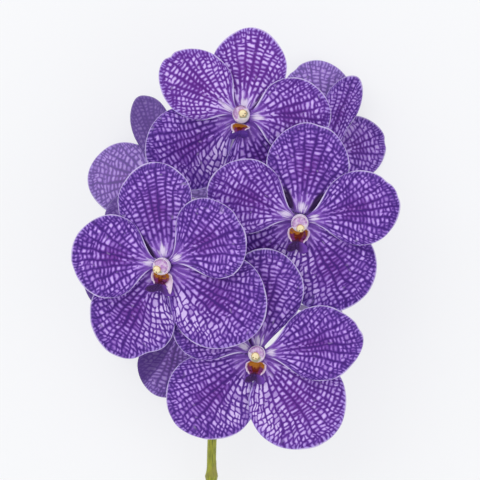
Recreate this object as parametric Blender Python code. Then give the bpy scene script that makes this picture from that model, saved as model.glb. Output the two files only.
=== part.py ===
"""Cut spray of a blue tessellated vanda orchid, lying on its back.

The flower stem lies along -Y with its cut end on the surface. Four flowers face up (+Z) and three face
down, so that the tips of their petals carry the spray. The origin is at the middle of the footprint, on the
surface. Lengths are in millimetres and angles in degrees until a mesh is made, in metres.
"""
import math
from collections import namedtuple

import bmesh
import bpy
from mathutils import Matrix, Vector
from mathutils.geometry import interpolate_bezier

MM = 0.001

# Places below are measured from the middle of the flower heads; this is the middle of the whole footprint
FOOTPRINT_MIDDLE = (-2.4, -67.3, 0.0)

# Driving dimensions of every flower
SHEET = 0.8              # thickness of a sepal, petal or lip
CLEARANCE = 0.3          # gap between pieces that touch on the real plant
AXIS_RADIUS = 3.4        # receptacle, where the flower parts grow from
CLAW_START = AXIS_RADIUS + CLEARANCE
PETAL_LEVEL = 1.7        # how far the petals and the lip sit in front of the sepals
RECEPTACLE_FRONT = 0.9
HEAD_ARC = 122.0         # how far round the rounded head the veins end, to each side of the midline
# Claw, the narrow base: half its width, and the direction in which its outermost vein leaves it
SEPAL_CLAW = (3.1, 52.0)
WIDE_CLAW = (3.7, 64.0)      # where a petal stands far from the dorsal sepal
OPEN_CLAW = (3.0, 30.0)      # where light shows between a petal and the dorsal sepal
INNER_CLAW = (2.2, 44.0)     # of the right lateral sepal, beside the left one
PETAL_CLAW = (1.8, 14.0)
BROAD_CLAW = (2.2, 30.0)     # of a petal that reaches further towards the dorsal sepal
NARROW_CLAW = (1.6, 14.0)    # of the left lateral sepal, beside the right one
VEIN_FAN = 22.0          # how much the veins between middle and margin turn outwards
MARGIN_WAVES = 2.5       # half-waves along the margin, from the midline to one side's claw
FRONT_GRID = (10, 5)     # facets across and along a sepal of a flower that faces up
BACK_GRID = (8, 5)       # the same for a flower that faces down

# Column: how blunt its ends are is its fullness, above 1 for a pointed body and below 1 for a blunt one
COLUMN_RADIUS = 4.7
COLUMN_BASE = 1.25
COLUMN_TOP = 9.2
COLUMN_FULLNESS = 1.15
CAP_RADIUS = 2.8         # anther cap at the column's tip
CAP_OFFSET = 0.36        # how far from the column's middle to its rim the cap sits
CAP_SINK = 2.6           # how far the cap reaches down into the column
CAP_RISE = 1.2           # how far it stands out of the tip
CAP_FULLNESS = 0.9

LIP_LENGTH = 14.3
LIP_GRID = (6, 6)
LIP_WIDTH_SHARE = 0.4    # share of the lip's width that follows its size
LIP_SIDE_POWER = 1.5     # how late the sides of the lip turn up
LIP_NOTCH = 1.2          # cleft in the lip's tip
LIP_NOTCH_SPREAD = 0.35

STEM_RADIUS = 2.97       # at the cut end
STEM_THINNING = 0.86     # how much thinner it is at its tip
STEM_SIDES = 3           # bevel resolution of the stem's curve
STEM_STEP = 4.0          # distance between the points of its curve
JOINT_REACH = 3.2        # how far along the stem the ring at a joint spreads

PEDICEL_SIDES = 2
PEDICEL_RADIUS = 1.35    # at the stem
OVARY_SWELL = 0.95       # how much thicker the stalk is just behind the flower
OVARY_POWER = 1.5
NECK = -4.0              # along the flower's axis, where the stalk starts to widen into the receptacle
RECEPTACLE_BACK = (-2.2, 3.1)
STALK_GAP = 0.4          # from the stem's surface to the start of each stalk
STALK_PULL = 0.4         # how far a stalk runs straight at each end, as a share of its span
PEDICEL_STEPS = 9

# Where the stem runs, from its cut end to its tip
STEM_ROUTE = (
    (-16.0, -250.0, 2.83),
    (-16.6, -215.0, 3.6),
    (-16.6, -180.0, 7.5),
    (-16.2, -140.0, 17.0),
    (-15.8, -115.0, 24.0),
    (-14.0, -80.0, 34.0),
    (-12.0, -40.0, 41.5),
    (-10.0, 0.0, 46.0),
    (-8.5, 30.0, 48.0),
    (-7.5, 54.0, 48.6),
)
# Joints of the stem: place along Y and how far the ring there stands out
STEM_JOINTS = ((-208.0, 0.55), (-172.0, 0.55), (-133.5, 0.85), (-82.0, 0.6), (-48.0, 0.5), (-30.0, 0.5),
               (-8.0, 0.5), (18.0, 0.5), (32.0, 0.5), (46.0, 0.5))

# direction: of the midline, counter-clockwise from the flower's right, seen from its front
# length: from the flower's axis to the tip; head: radius of the rounded head along the midline
# left, right: half-widths on the counter-clockwise and the clockwise side
# pitch: rise of the midline towards the front; roll: rise of the counter-clockwise side
# taper: how much the shoulders beside the tip are drawn in, as a share of the head's radius
# curl: how far the tip bends back; wave: height of the margin's waves
# notches: each is (place across the head from -1 to 1, depth, spread)
# claws: shape of its claw on the counter-clockwise and the clockwise side
Tepal = namedtuple("Tepal", "name direction length head left right pitch roll taper curl wave notches claws")

# hub: middle of the flower's face; nod and lean: its turn about X and then about Y
# column_lean: shift of the column's tip; cap_side: direction from there to its anther cap
# root and branch: where along the stem its stalk starts, and on which side
Flower = namedtuple("Flower", "name hub nod lean grid tepals column_lean cap_side lip root branch")
Lip = namedtuple("Lip", "direction size pitch")


def sepal(name, direction, length, head, left, right, pitch=-7.0, roll=0.0, taper=0.03, notches=(),
          claws=None):
    usual = {"dorsal_sepal": (SEPAL_CLAW, SEPAL_CLAW),
             "lateral_sepal_left": (NARROW_CLAW, SEPAL_CLAW),
             "lateral_sepal_right": (SEPAL_CLAW, INNER_CLAW)}
    return Tepal(name, direction, length, head, left, right, pitch, roll, taper, curl=1.5, wave=0.7,
                 notches=notches, claws=claws or usual[name])


def petal(name, direction, length, head, left, right, pitch=5.5, taper=0.03, notches=(),
          claws=(PETAL_CLAW, PETAL_CLAW)):
    return Tepal(name, direction, length, head, left, right, pitch, roll=0.0, taper=taper, curl=2.0, wave=0.8,
                 notches=notches, claws=claws)


FLOWERS = (
    Flower("top", (1.1, 66.9, 74.0), 8.0, 0.0, FRONT_GRID, (
        sepal("dorsal_sepal", 81.6, 48.7, 21.0, 20.5, 20.5, taper=0.05, claws=(SEPAL_CLAW, WIDE_CLAW)),
        petal("petal_left", 144.0, 52.7, 22.0, 18.4, 18.9, notches=((-0.11, 1.2, 0.05),)),
        petal("petal_right", 2.0, 48.5, 20.7, 20.8, 20.0, pitch=2.0, claws=(BROAD_CLAW, PETAL_CLAW)),
        sepal("lateral_sepal_left", 211.4, 59.0, 24.0, 23.8, 23.8, pitch=-11.5, roll=-2.5),
        sepal("lateral_sepal_right", 294.5, 58.0, 23.9, 23.9, 23.9, pitch=-4.5, roll=-2.5),
    ), (-1.0, 4.0), 320.0, Lip(260.0, 0.66, 3.0), 46.0, (0.3, 0.0, 1.0)),
    Flower("right", (32.5, 10.8, 80.0), 8.0, 0.0, FRONT_GRID, (
        sepal("dorsal_sepal", 81.7, 53.0, 23.0, 22.6, 22.6, notches=((-0.06, 0.9, 0.10),)),
        petal("petal_left", 155.6, 53.8, 21.1, 20.6, 20.6),
        petal("petal_right", 12.0, 55.0, 21.4, 20.6, 20.2, notches=((0.3, 0.6, 0.05), (0.05, 0.5, 0.05))),
        sepal("lateral_sepal_left", 225.0, 56.0, 23.8, 23.8, 23.8, pitch=-11.5, roll=-2.5),
        sepal("lateral_sepal_right", 302.5, 56.2, 25.4, 25.6, 25.4, pitch=-4.5, roll=-2.5, taper=0.0),
    ), (-0.4, -1.7), 284.0, Lip(263.0, 1.0, 0.0), -8.0, (0.8, 0.0, 0.6)),
    Flower("left", (-40.4, -13.5, 90.0), 2.0, -8.0, FRONT_GRID, (
        sepal("dorsal_sepal", 99.6, 56.0, 20.5, 20.8, 20.2, claws=(WIDE_CLAW, WIDE_CLAW)),
        petal("petal_left", 171.0, 51.0, 20.7, 22.6, 22.6),
        petal("petal_right", 30.3, 48.2, 18.3, 22.6, 23.1, notches=((0.0, 0.8, 0.08),)),
        sepal("lateral_sepal_left", 236.0, 58.5, 24.2, 24.2, 24.4, pitch=-11.5, roll=-2.5,
              notches=((0.45, 2.4, 0.14),)),
        sepal("lateral_sepal_right", 326.3, 61.3, 26.4, 26.2, 26.4, pitch=-4.5, roll=-2.5,
              claws=(SEPAL_CLAW, SEPAL_CLAW)),
    ), (-1.8, -0.8), 228.0, Lip(259.0, 0.86, 0.0), -30.0, (-0.6, 0.0, 0.8)),
    Flower("lower", (9.2, -61.9, 78.0), 8.0, 0.0, FRONT_GRID, (
        sepal("dorsal_sepal", 83.9, 57.5, 22.0, 21.7, 21.7, pitch=-4.5, claws=(SEPAL_CLAW, OPEN_CLAW)),
        petal("petal_left", 146.9, 52.4, 20.6, 20.6, 20.6, pitch=0.0),
        petal("petal_right", 10.5, 58.4, 22.8, 21.0, 20.4, taper=0.06, notches=((0.12, 0.7, 0.06),)),
        sepal("lateral_sepal_left", 225.0, 61.0, 25.4, 25.0, 25.0, pitch=-11.5, roll=-2.5),
        sepal("lateral_sepal_right", 309.2, 62.8, 27.3, 27.1, 27.0, pitch=-4.5, roll=-2.5),
    ), (-0.3, 2.1), 248.0, Lip(264.0, 0.88, 0.0), -82.0, (0.5, 0.0, 0.8)),
    Flower("back_left", (-42.4, 35.1, 17.0), 0.0, 180.0, BACK_GRID, (
        sepal("dorsal_sepal", 74.5, 49.6, 18.0, 11.5, 10.8, pitch=8.0, roll=16.0, notches=((0.1, 1.2, 0.2),)),
        petal("petal_left", 150.0, 46.0, 20.0, 19.0, 19.0, pitch=25.0),
        petal("petal_right", 359.0, 44.7, 21.2, 20.9, 20.9, pitch=25.0),
        sepal("lateral_sepal_left", 235.0, 50.0, 20.0, 20.0, 20.0, pitch=18.0,
              claws=(NARROW_CLAW, NARROW_CLAW)),
        sepal("lateral_sepal_right", 300.0, 50.0, 20.0, 20.0, 20.0, pitch=7.0),
    ), (0.0, -2.5), 267.0, Lip(267.0, 1.0, 17.0), 18.0, (-1.0, 0.0, -0.1)),
    Flower("back_right", (46.4, 46.4, 17.0), 0.0, 180.0, BACK_GRID, (
        sepal("dorsal_sepal", 113.0, 50.2, 17.0, 8.6, 11.6, pitch=3.0, roll=-8.0),
        petal("petal_left", 161.0, 38.5, 18.1, 18.1, 18.1, pitch=29.0, notches=((0.08, 0.9, 0.06),),
              claws=(NARROW_CLAW, NARROW_CLAW)),
        petal("petal_right", 85.5, 56.0, 19.8, 20.1, 20.1, pitch=10.0, notches=((-0.3, 0.8, 0.06),)),
        sepal("lateral_sepal_left", 272.0, 50.0, 20.0, 20.0, 20.0, pitch=12.0),
        sepal("lateral_sepal_right", 0.0, 48.0, 20.0, 20.0, 20.0, pitch=14.0),
    ), (1.5, -2.0), 316.0, Lip(316.0, 1.0, 17.0), 32.0, (1.0, 0.0, 0.0)),
    Flower("back_low", (-31.1, -42.4, 17.0), 0.0, 180.0, BACK_GRID, (
        sepal("dorsal_sepal", 130.0, 50.0, 20.0, 20.0, 20.0, pitch=5.0),
        petal("petal_left", 215.0, 50.0, 20.0, 20.0, 20.0, pitch=24.0),
        petal("petal_right", 25.0, 63.0, 18.0, 17.5, 17.5, pitch=20.0),
        sepal("lateral_sepal_left", 288.0, 48.5, 17.5, 17.5, 17.5, pitch=4.0),
        sepal("lateral_sepal_right", 343.0, 42.0, 17.0, 17.0, 17.0, pitch=19.0,
              claws=(NARROW_CLAW, NARROW_CLAW)),
    ), (1.5, -1.5), 303.0, Lip(303.0, 1.0, 20.0), -48.0, (-1.0, 0.0, -0.3)),
)

# A stalk whose flower has gone: where it leaves the stem and where it ends
BARE_STALK_ROOT = -30.0
BARE_STALK_BRANCH = (1.0, 0.0, 0.1)
BARE_STALK_END = (56.2, -40.8, 55.0)
BARE_STALK_HEADING = (1.0, -0.1, 0.1)
BARE_STALK_SWELL = 0.55
BARE_STALK_STEPS = 12

# Lip, from its base to its tip: place along it, half-width, how far its sides stand up, depth of its middle
LIP_PROFILE = (
    (0.00, 2.0, 0.4, 0.0),
    (0.18, 2.4, 2.2, -0.9),
    (0.32, 4.0, 4.0, -0.7),
    (0.48, 4.6, 4.4, 0.2),
    (0.64, 3.0, 1.5, 1.5),
    (0.85, 4.8, -0.5, 1.3),
    (1.00, 4.0, -1.2, 0.4),
)
COLOURS = {
    "sepal": ("#5C3A9C", 0.55),
    "petal": ("#60409F", 0.55),
    "lip": ("#4A2670", 0.45),
    "column": ("#E3CDE2", 0.40),
    "pedicel": ("#A89BB8", 0.50),
    "stem": ("#919F46", 0.50),
}


def clear_scene():
    for obj in list(bpy.data.objects):
        bpy.data.objects.remove(obj, do_unlink=True)


def linear(hex_colour):
    """Linear RGBA of an sRGB hex colour."""
    values = [int(hex_colour[i:i + 2], 16) / 255.0 for i in (1, 3, 5)]
    return tuple(v / 12.92 if v <= 0.04045 else ((v + 0.055) / 1.055) ** 2.4 for v in values) + (1.0,)


def make_material(name, kind):
    colour, roughness = COLOURS[kind]
    material = bpy.data.materials.new(name)
    material.use_nodes = True
    shader = material.node_tree.nodes["Principled BSDF"]
    shader.inputs["Base Color"].default_value = linear(colour)
    shader.inputs["Roughness"].default_value = roughness
    shader.inputs["Metallic"].default_value = 0.0
    return material


def add_object(name, data, kind, parent):
    obj = bpy.data.objects.new(name, data)
    bpy.context.scene.collection.objects.link(obj)
    data.materials.append(make_material(name, kind))
    obj.parent = parent
    return obj


def finish_mesh(name, bm):
    mesh = bpy.data.meshes.new(name)
    bm.to_mesh(mesh)
    bm.free()
    mesh.shade_smooth()
    return mesh


def flower_matrix(flower):
    """Place of a flower: its own +Z points out of its face, its own +Y up its dorsal sepal."""
    turn = Matrix.Rotation(math.radians(flower.nod), 4, "X")
    turn = turn @ Matrix.Rotation(math.radians(flower.lean), 4, "Y")
    return Matrix.Translation(Vector(flower.hub)) @ turn


def hermite(start, leave, end, arrive, s):
    """Point at s on the curve that leaves start along one vector and reaches end along another."""
    return ((2 * s**3 - 3 * s**2 + 1) * start + (s**3 - 2 * s**2 + s) * leave
            + (3 * s**2 - 2 * s**3) * end + (s**3 - s**2) * arrive)


def heading(angle, size):
    return size * Vector((math.cos(angle), math.sin(angle)))


def vein_point(tepal, t, s):
    """Point in the flower's face plane: s runs out along a vein, t from -1 to 1 across the veins."""
    phi = math.radians(HEAD_ARC) * t
    side = tepal.left if t > 0 else tepal.right
    dip = sum(depth * math.exp(-((t - place) / spread) ** 2) for place, depth, spread in tepal.notches)
    middle = Vector((tepal.length - tepal.head, 0.0))
    shoulder = 1.0 - tepal.taper * math.sin(2.0 * phi) ** 2 if abs(phi) < math.pi / 2.0 else 1.0
    rim = Vector(((tepal.head - dip) * math.cos(phi), (side - dip) * math.sin(phi))) * shoulder
    half, spread = tepal.claws[0 if t > 0.0 else 1]
    start = Vector((CLAW_START, half * t))
    end = middle + rim
    chord = (end - start).length
    last = math.radians(HEAD_ARC)
    edge_turn = math.atan2(-side * math.cos(last), tepal.head * math.sin(last))
    arrive = edge_turn * t + math.radians(VEIN_FAN) * math.sin(math.pi * t)
    return hermite(start, heading(math.radians(spread) * t, chord), end, heading(arrive, chord), s)


def tepal_point(tepal, level, t, s):
    """Point of a sepal or petal in its flower's frame, before the sheet gets its thickness."""
    flat = vein_point(tepal, t, s)
    out = (flat.x - CLAW_START) / (tepal.length - CLAW_START)
    height = (level
              + (flat.x - CLAW_START) * math.tan(math.radians(tepal.pitch))
              + flat.y * math.tan(math.radians(tepal.roll)) * out
              - tepal.curl * out**2
              + tepal.wave * s**3 * math.sin(MARGIN_WAVES * math.pi * t + math.radians(tepal.direction)))
    turn = math.radians(tepal.direction)
    return Vector((flat.x * math.cos(turn) - flat.y * math.sin(turn),
                   flat.x * math.sin(turn) + flat.y * math.cos(turn), height))


def sheet_mesh(name, grid, place, matrix):
    """A sheet of grid facets, each vertex put where place(t, s) says, and kept off the surface below."""
    bm = bmesh.new()
    bmesh.ops.create_grid(bm, x_segments=grid[0], y_segments=grid[1], size=1.0)
    back = matrix.inverted()
    for vert in bm.verts:
        world = matrix @ place(vert.co.x, (vert.co.y + 1.0) / 2.0)
        world.z = max(world.z, SHEET / 2.0)
        vert.co = (back @ world) * MM
    bmesh.ops.triangulate(bm, faces=bm.faces[:])
    return finish_mesh(name, bm)


def thicken(obj):
    solidify = obj.modifiers.new("thickness", "SOLIDIFY")
    solidify.thickness = SHEET * MM
    solidify.offset = 0.0
    solidify.use_rim = True


def add_tepal(flower, tepal, matrix, parent):
    name = f"{flower.name}_{tepal.name}"
    is_petal = tepal.name.startswith("petal")
    level = PETAL_LEVEL if is_petal else 0.0
    mesh = sheet_mesh(name, flower.grid, lambda t, s: tepal_point(tepal, level, t, s), matrix)
    thicken(add_object(name, mesh, "petal" if is_petal else "sepal", parent))


def lip_profile(s):
    """Half-width, side height and middle depth of the lip at s, eased between the rows of LIP_PROFILE."""
    for low, high in zip(LIP_PROFILE, LIP_PROFILE[1:]):
        if s <= high[0]:
            break
    share = min(1.0, (s - low[0]) / (high[0] - low[0]))
    ease = share * share * (3.0 - 2.0 * share)
    return [a + (b - a) * ease for a, b in zip(low[1:], high[1:])]


def lip_point(flower, t, s):
    half, lift, depth = lip_profile(s)
    half *= 1.0 - LIP_WIDTH_SHARE * (1.0 - flower.lip.size)
    notch = LIP_NOTCH * s**4 * math.exp(-(t / LIP_NOTCH_SPREAD) ** 2)
    reach = CLAW_START + LIP_LENGTH * flower.lip.size * s - notch
    rise = (reach - CLAW_START) * math.tan(math.radians(flower.lip.pitch))
    height = PETAL_LEVEL + rise + depth + lift * abs(t) ** LIP_SIDE_POWER
    turn = math.radians(flower.lip.direction)
    side = half * t
    return Vector((reach * math.cos(turn) - side * math.sin(turn),
                   reach * math.sin(turn) + side * math.cos(turn), height))


def add_lip(flower, matrix, parent):
    name = f"{flower.name}_lip"
    mesh = sheet_mesh(name, LIP_GRID, lambda t, s: lip_point(flower, t, s), matrix)
    thicken(add_object(name, mesh, "lip", parent))


def rounded_body(name, segments, rings, radius, low, high, fullness, lean):
    """A closed round body from low to high along the flower's axis, leaning towards its top."""
    bm = bmesh.new()
    bmesh.ops.create_uvsphere(bm, u_segments=segments, v_segments=rings, radius=1.0)
    for vert in bm.verts:
        around = math.atan2(vert.co.y, vert.co.x)
        ring = math.hypot(vert.co.x, vert.co.y)
        rise = (vert.co.z + 1.0) / 2.0
        wide = radius * ring ** fullness
        vert.co = Vector((wide * math.cos(around) + lean[0] * rise, wide * math.sin(around) + lean[1] * rise,
                          low + (high - low) * rise)) * MM
    return finish_mesh(name, bm)


def add_column(flower, parent):
    """The column, with its anther cap joined on at the tip."""
    name = f"{flower.name}_column"
    lean = flower.column_lean
    body = rounded_body(name, 10, 6, COLUMN_RADIUS, COLUMN_BASE, COLUMN_TOP, COLUMN_FULLNESS, lean)
    column = add_object(name, body, "column", parent)
    cap_name = f"{flower.name}_anther_cap"
    cap_mesh = rounded_body(cap_name, 8, 5, CAP_RADIUS, COLUMN_TOP - CAP_SINK, COLUMN_TOP + CAP_RISE,
                            CAP_FULLNESS, (0.0, 0.0))
    cap = add_object(cap_name, cap_mesh, "column", parent)
    offset = CAP_OFFSET * COLUMN_RADIUS * heading(math.radians(flower.cap_side), 1.0)
    cap.location = Vector((lean[0] + offset.x, lean[1] + offset.y, 0.0)) * MM
    cap.hide_render = True
    cap.display_type = "WIRE"
    union = column.modifiers.new("anther cap", "BOOLEAN")
    union.operation = "UNION"
    union.object = cap


def tube(name, points, radii, resolution, kind, parent):
    """A closed tube through points, with its own radius at each point."""
    curve = bpy.data.curves.new(name, "CURVE")
    curve.dimensions = "3D"
    curve.bevel_depth = MM
    curve.bevel_resolution = resolution
    curve.use_fill_caps = True
    spline = curve.splines.new("POLY")
    spline.points.add(len(points) - 1)
    for target, point, radius in zip(spline.points, points, radii):
        target.co = (*(Vector(point) * MM), 1.0)
        target.radius = radius
    return add_object(name, curve, kind, parent)


def stem_points():
    """Points every few millimetres along a smooth curve through STEM_ROUTE."""
    route = [Vector(p) for p in STEM_ROUTE]
    ends = [2 * route[0] - route[1]] + route + [2 * route[-1] - route[-2]]
    points = []
    for before, start, end, after in zip(ends, ends[1:], ends[2:], ends[3:]):
        steps = max(2, round((end - start).length / STEM_STEP))
        leave = start + (end - before) / 6.0
        arrive = end - (after - start) / 6.0
        piece = interpolate_bezier(start, leave, arrive, end, steps)
        points += piece[:-1]
    return points + [route[-1]]


def stem_radius(y):
    """Radius of the stem at a place along Y: it thins towards the tip and stands out at each joint."""
    along = (y - STEM_ROUTE[0][1]) / (STEM_ROUTE[-1][1] - STEM_ROUTE[0][1])
    swell = max(size * math.exp(-((y - place) / JOINT_REACH) ** 2) for place, size in STEM_JOINTS)
    return STEM_RADIUS - STEM_THINNING * along + swell


def stem_centre(y):
    points = stem_points()
    for low, high in zip(points, points[1:]):
        if low.y <= y <= high.y:
            return low.lerp(high, (y - low.y) / (high.y - low.y))
    return points[-1]


def stalk_points(root, branch, end, end_axis, steps):
    """A stalk from the stem's surface at root to end, which it reaches along end_axis."""
    centre = stem_centre(root)
    along = (stem_centre(root + 1.0) - stem_centre(root - 1.0)).normalized()
    outward = Vector(branch)
    outward = (outward - outward.dot(along) * along).normalized()
    start = centre + outward * (stem_radius(root) + STALK_GAP)
    pull = (end - start).length * STALK_PULL
    return interpolate_bezier(start, start + outward * pull, end - end_axis * pull, end, steps)


def add_pedicel(flower, matrix, spray):
    """Stalk and ovary of a flower, widening into the receptacle that its parts grow from."""
    axis = (matrix.to_3x3() @ Vector((0.0, 0.0, 1.0))).normalized()
    neck = matrix @ Vector((0.0, 0.0, NECK))
    points = stalk_points(flower.root, flower.branch, neck, axis, PEDICEL_STEPS)
    last = len(points) - 1
    radii = [PEDICEL_RADIUS + OVARY_SWELL * (i / last) ** OVARY_POWER for i in range(last + 1)]
    for height, radius in (RECEPTACLE_BACK, (RECEPTACLE_FRONT, AXIS_RADIUS)):
        points.append(matrix @ Vector((0.0, 0.0, height)))
        radii.append(radius)
    tube(f"{flower.name}_pedicel", points, radii, PEDICEL_SIDES, "pedicel", spray)


def add_stem(spray):
    points = stem_points()
    tube("stem", points, [stem_radius(p.y) for p in points], STEM_SIDES, "stem", spray)


def add_bare_stalk(spray):
    points = stalk_points(BARE_STALK_ROOT, BARE_STALK_BRANCH, Vector(BARE_STALK_END),
                          Vector(BARE_STALK_HEADING).normalized(), BARE_STALK_STEPS)
    last = len(points) - 1
    radii = [PEDICEL_RADIUS + BARE_STALK_SWELL * i / last for i in range(last + 1)]
    tube("bare_stalk", points, radii, PEDICEL_SIDES, "pedicel", spray)


def add_empty(name, matrix, parent=None):
    empty = bpy.data.objects.new(name, None)
    bpy.context.scene.collection.objects.link(empty)
    empty.parent = parent
    empty.matrix_local = Matrix.Translation(matrix.translation * MM) @ matrix.to_3x3().to_4x4()
    return empty


def add_flower(flower, spray):
    matrix = flower_matrix(flower)
    hub = add_empty(f"{flower.name}_flower", matrix, spray)
    for tepal in flower.tepals:
        add_tepal(flower, tepal, matrix, hub)
    add_lip(flower, matrix, hub)
    add_column(flower, hub)
    add_pedicel(flower, matrix, spray)


def main():
    clear_scene()
    spray = add_empty("spray", Matrix.Translation(-Vector(FOOTPRINT_MIDDLE)))
    for flower in FLOWERS:
        add_flower(flower, spray)
    add_stem(spray)
    add_bare_stalk(spray)


main()
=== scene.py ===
"""Looks of a cut spray of netted vanda orchids, lying on its back under a soft studio light.

Every sepal, petal, lip, column and stalk and the stem is modelled again, finer, on the same curves as the
solid that it stands for. Lengths are in millimetres and angles in degrees, up to where a mesh is made.
Meshes, settings and the stage are in metres.
"""
import math
from collections import namedtuple
from functools import partial

import bmesh
import bpy
from bpy.props import FloatProperty, FloatVectorProperty, IntProperty, PointerProperty
from mathutils import Matrix, Vector
from mathutils.geometry import interpolate_bezier


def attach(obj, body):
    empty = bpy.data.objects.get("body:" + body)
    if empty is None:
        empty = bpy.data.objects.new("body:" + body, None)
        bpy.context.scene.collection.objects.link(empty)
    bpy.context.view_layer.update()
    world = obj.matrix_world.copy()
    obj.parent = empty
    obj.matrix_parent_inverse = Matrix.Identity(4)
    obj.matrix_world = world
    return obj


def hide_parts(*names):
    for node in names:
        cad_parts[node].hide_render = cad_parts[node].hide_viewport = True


bl_info = {
    "name": "Cut vanda orchid spray",
    "version": (1, 0, 0),
    "blender": (4, 5, 0),
    "location": "3D View > Sidebar > Orchid",
    "description": "Petals, lips, columns, stalks and stem of a cut orchid spray, and a plain studio stage",
    "category": "Add Mesh",
}

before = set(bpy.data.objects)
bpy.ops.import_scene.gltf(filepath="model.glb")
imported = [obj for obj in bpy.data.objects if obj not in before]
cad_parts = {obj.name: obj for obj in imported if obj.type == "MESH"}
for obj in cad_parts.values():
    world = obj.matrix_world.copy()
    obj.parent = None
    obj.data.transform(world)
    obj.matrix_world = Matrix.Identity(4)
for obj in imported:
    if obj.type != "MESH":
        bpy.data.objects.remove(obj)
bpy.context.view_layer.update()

MM = 0.001
BODY = "root"

# Places of flowers and stem are measured from the middle of the flower heads. The frame's origin, the middle
# of the footprint, is this far off.
FOOTPRINT_MIDDLE = Vector((-2.4, -67.3, 0.0))

# The form of the solids, repeated
CLEARANCE = 0.3
AXIS_RADIUS = 3.4        # receptacle, where the flower parts grow from
CLAW_START = AXIS_RADIUS + CLEARANCE
PETAL_LEVEL = 1.7        # how far the petals and the lip sit in front of the sepals
HEAD_ARC = 122.0         # how far round the rounded head the veins end, to each side of the midline
# Claw, the narrow base: half its width, and the direction in which its outermost vein leaves it
SEPAL_CLAW = (3.1, 52.0)
WIDE_CLAW = (3.7, 64.0)      # where a petal stands far from the dorsal sepal
OPEN_CLAW = (3.0, 30.0)      # where light shows between a petal and the dorsal sepal
INNER_CLAW = (2.2, 44.0)     # of the right lateral sepal, beside the left one
PETAL_CLAW = (1.8, 14.0)
BROAD_CLAW = (2.2, 30.0)     # of a petal that reaches further towards the dorsal sepal
NARROW_CLAW = (1.6, 14.0)    # of the left lateral sepal, beside the right one
VEIN_FAN = 22.0          # how much the veins between middle and margin turn outwards
MARGIN_WAVES = 2.5       # half-waves along the margin, from the midline to one side's claw
COLUMN_RADIUS = 4.7
COLUMN_BASE = 1.25
COLUMN_TOP = 9.2
COLUMN_FULLNESS = 1.15
LIP_LENGTH = 14.3
LIP_WIDTH_SHARE = 0.4
STEM_RADIUS = 2.97
STEM_THINNING = 0.86
STEM_STEP = 4.0
JOINT_REACH = 3.2
PEDICEL_RADIUS = 1.35
OVARY_SWELL = 0.95
OVARY_POWER = 1.5
NECK = -4.0              # where the stalk meets the receptacle, behind the flower's face
STALK_GAP = 0.4
STALK_PULL = 0.4

STEM_ROUTE = (
    (-16.0, -250.0, 2.83),
    (-16.6, -215.0, 3.6),
    (-16.6, -180.0, 7.5),
    (-16.2, -140.0, 17.0),
    (-15.8, -115.0, 24.0),
    (-14.0, -80.0, 34.0),
    (-12.0, -40.0, 41.5),
    (-10.0, 0.0, 46.0),
    (-8.5, 30.0, 48.0),
    (-7.5, 54.0, 48.6),
)
# Joints of the stem: place along Y and how far the ring there stands out
STEM_JOINTS = ((-208.0, 0.55), (-172.0, 0.55), (-133.5, 0.85), (-82.0, 0.6), (-48.0, 0.5), (-30.0, 0.5),
               (-8.0, 0.5), (18.0, 0.5), (32.0, 0.5), (46.0, 0.5))

# A tepal is a sepal or a petal
# direction: of the midline, counter-clockwise from the flower's right, seen from its front
# length: from the flower's axis to the tip; head: radius of the rounded head along the midline
# left, right: half-widths on the counter-clockwise and the clockwise side
# pitch: rise of the midline towards the front; roll: rise of the counter-clockwise side
# taper: how much the shoulders beside the tip are drawn in; curl: how far the tip bends back
# notches: each is (place across the head from -1 to 1, depth, spread)
# claws: shape of its claw on the counter-clockwise and the clockwise side
Tepal = namedtuple("Tepal", "name direction length head left right pitch roll taper curl wave notches claws")

# hub: middle of the flower's face; nod and lean: its turn about X and then about Y
# column_lean: shift of the column's tip; cap_side: direction from there to its anther cap
# root and branch: where along the stem its stalk starts, and on which side
Flower = namedtuple("Flower", "name hub nod lean tepals column_lean cap_side lip root branch")
Lip = namedtuple("Lip", "direction size pitch")


def sepal(name, direction, length, head, left, right, pitch=-7.0, roll=0.0, taper=0.03, notches=(),
          claws=None):
    usual = {"dorsal_sepal": (SEPAL_CLAW, SEPAL_CLAW),
             "lateral_sepal_left": (NARROW_CLAW, SEPAL_CLAW),
             "lateral_sepal_right": (SEPAL_CLAW, INNER_CLAW)}
    return Tepal(name, direction, length, head, left, right, pitch, roll, taper, curl=1.5, wave=0.7,
                 notches=notches, claws=claws or usual[name])


def petal(name, direction, length, head, left, right, pitch=5.5, taper=0.03, notches=(),
          claws=(PETAL_CLAW, PETAL_CLAW)):
    return Tepal(name, direction, length, head, left, right, pitch, roll=0.0, taper=taper, curl=2.0, wave=0.8,
                 notches=notches, claws=claws)


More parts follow.
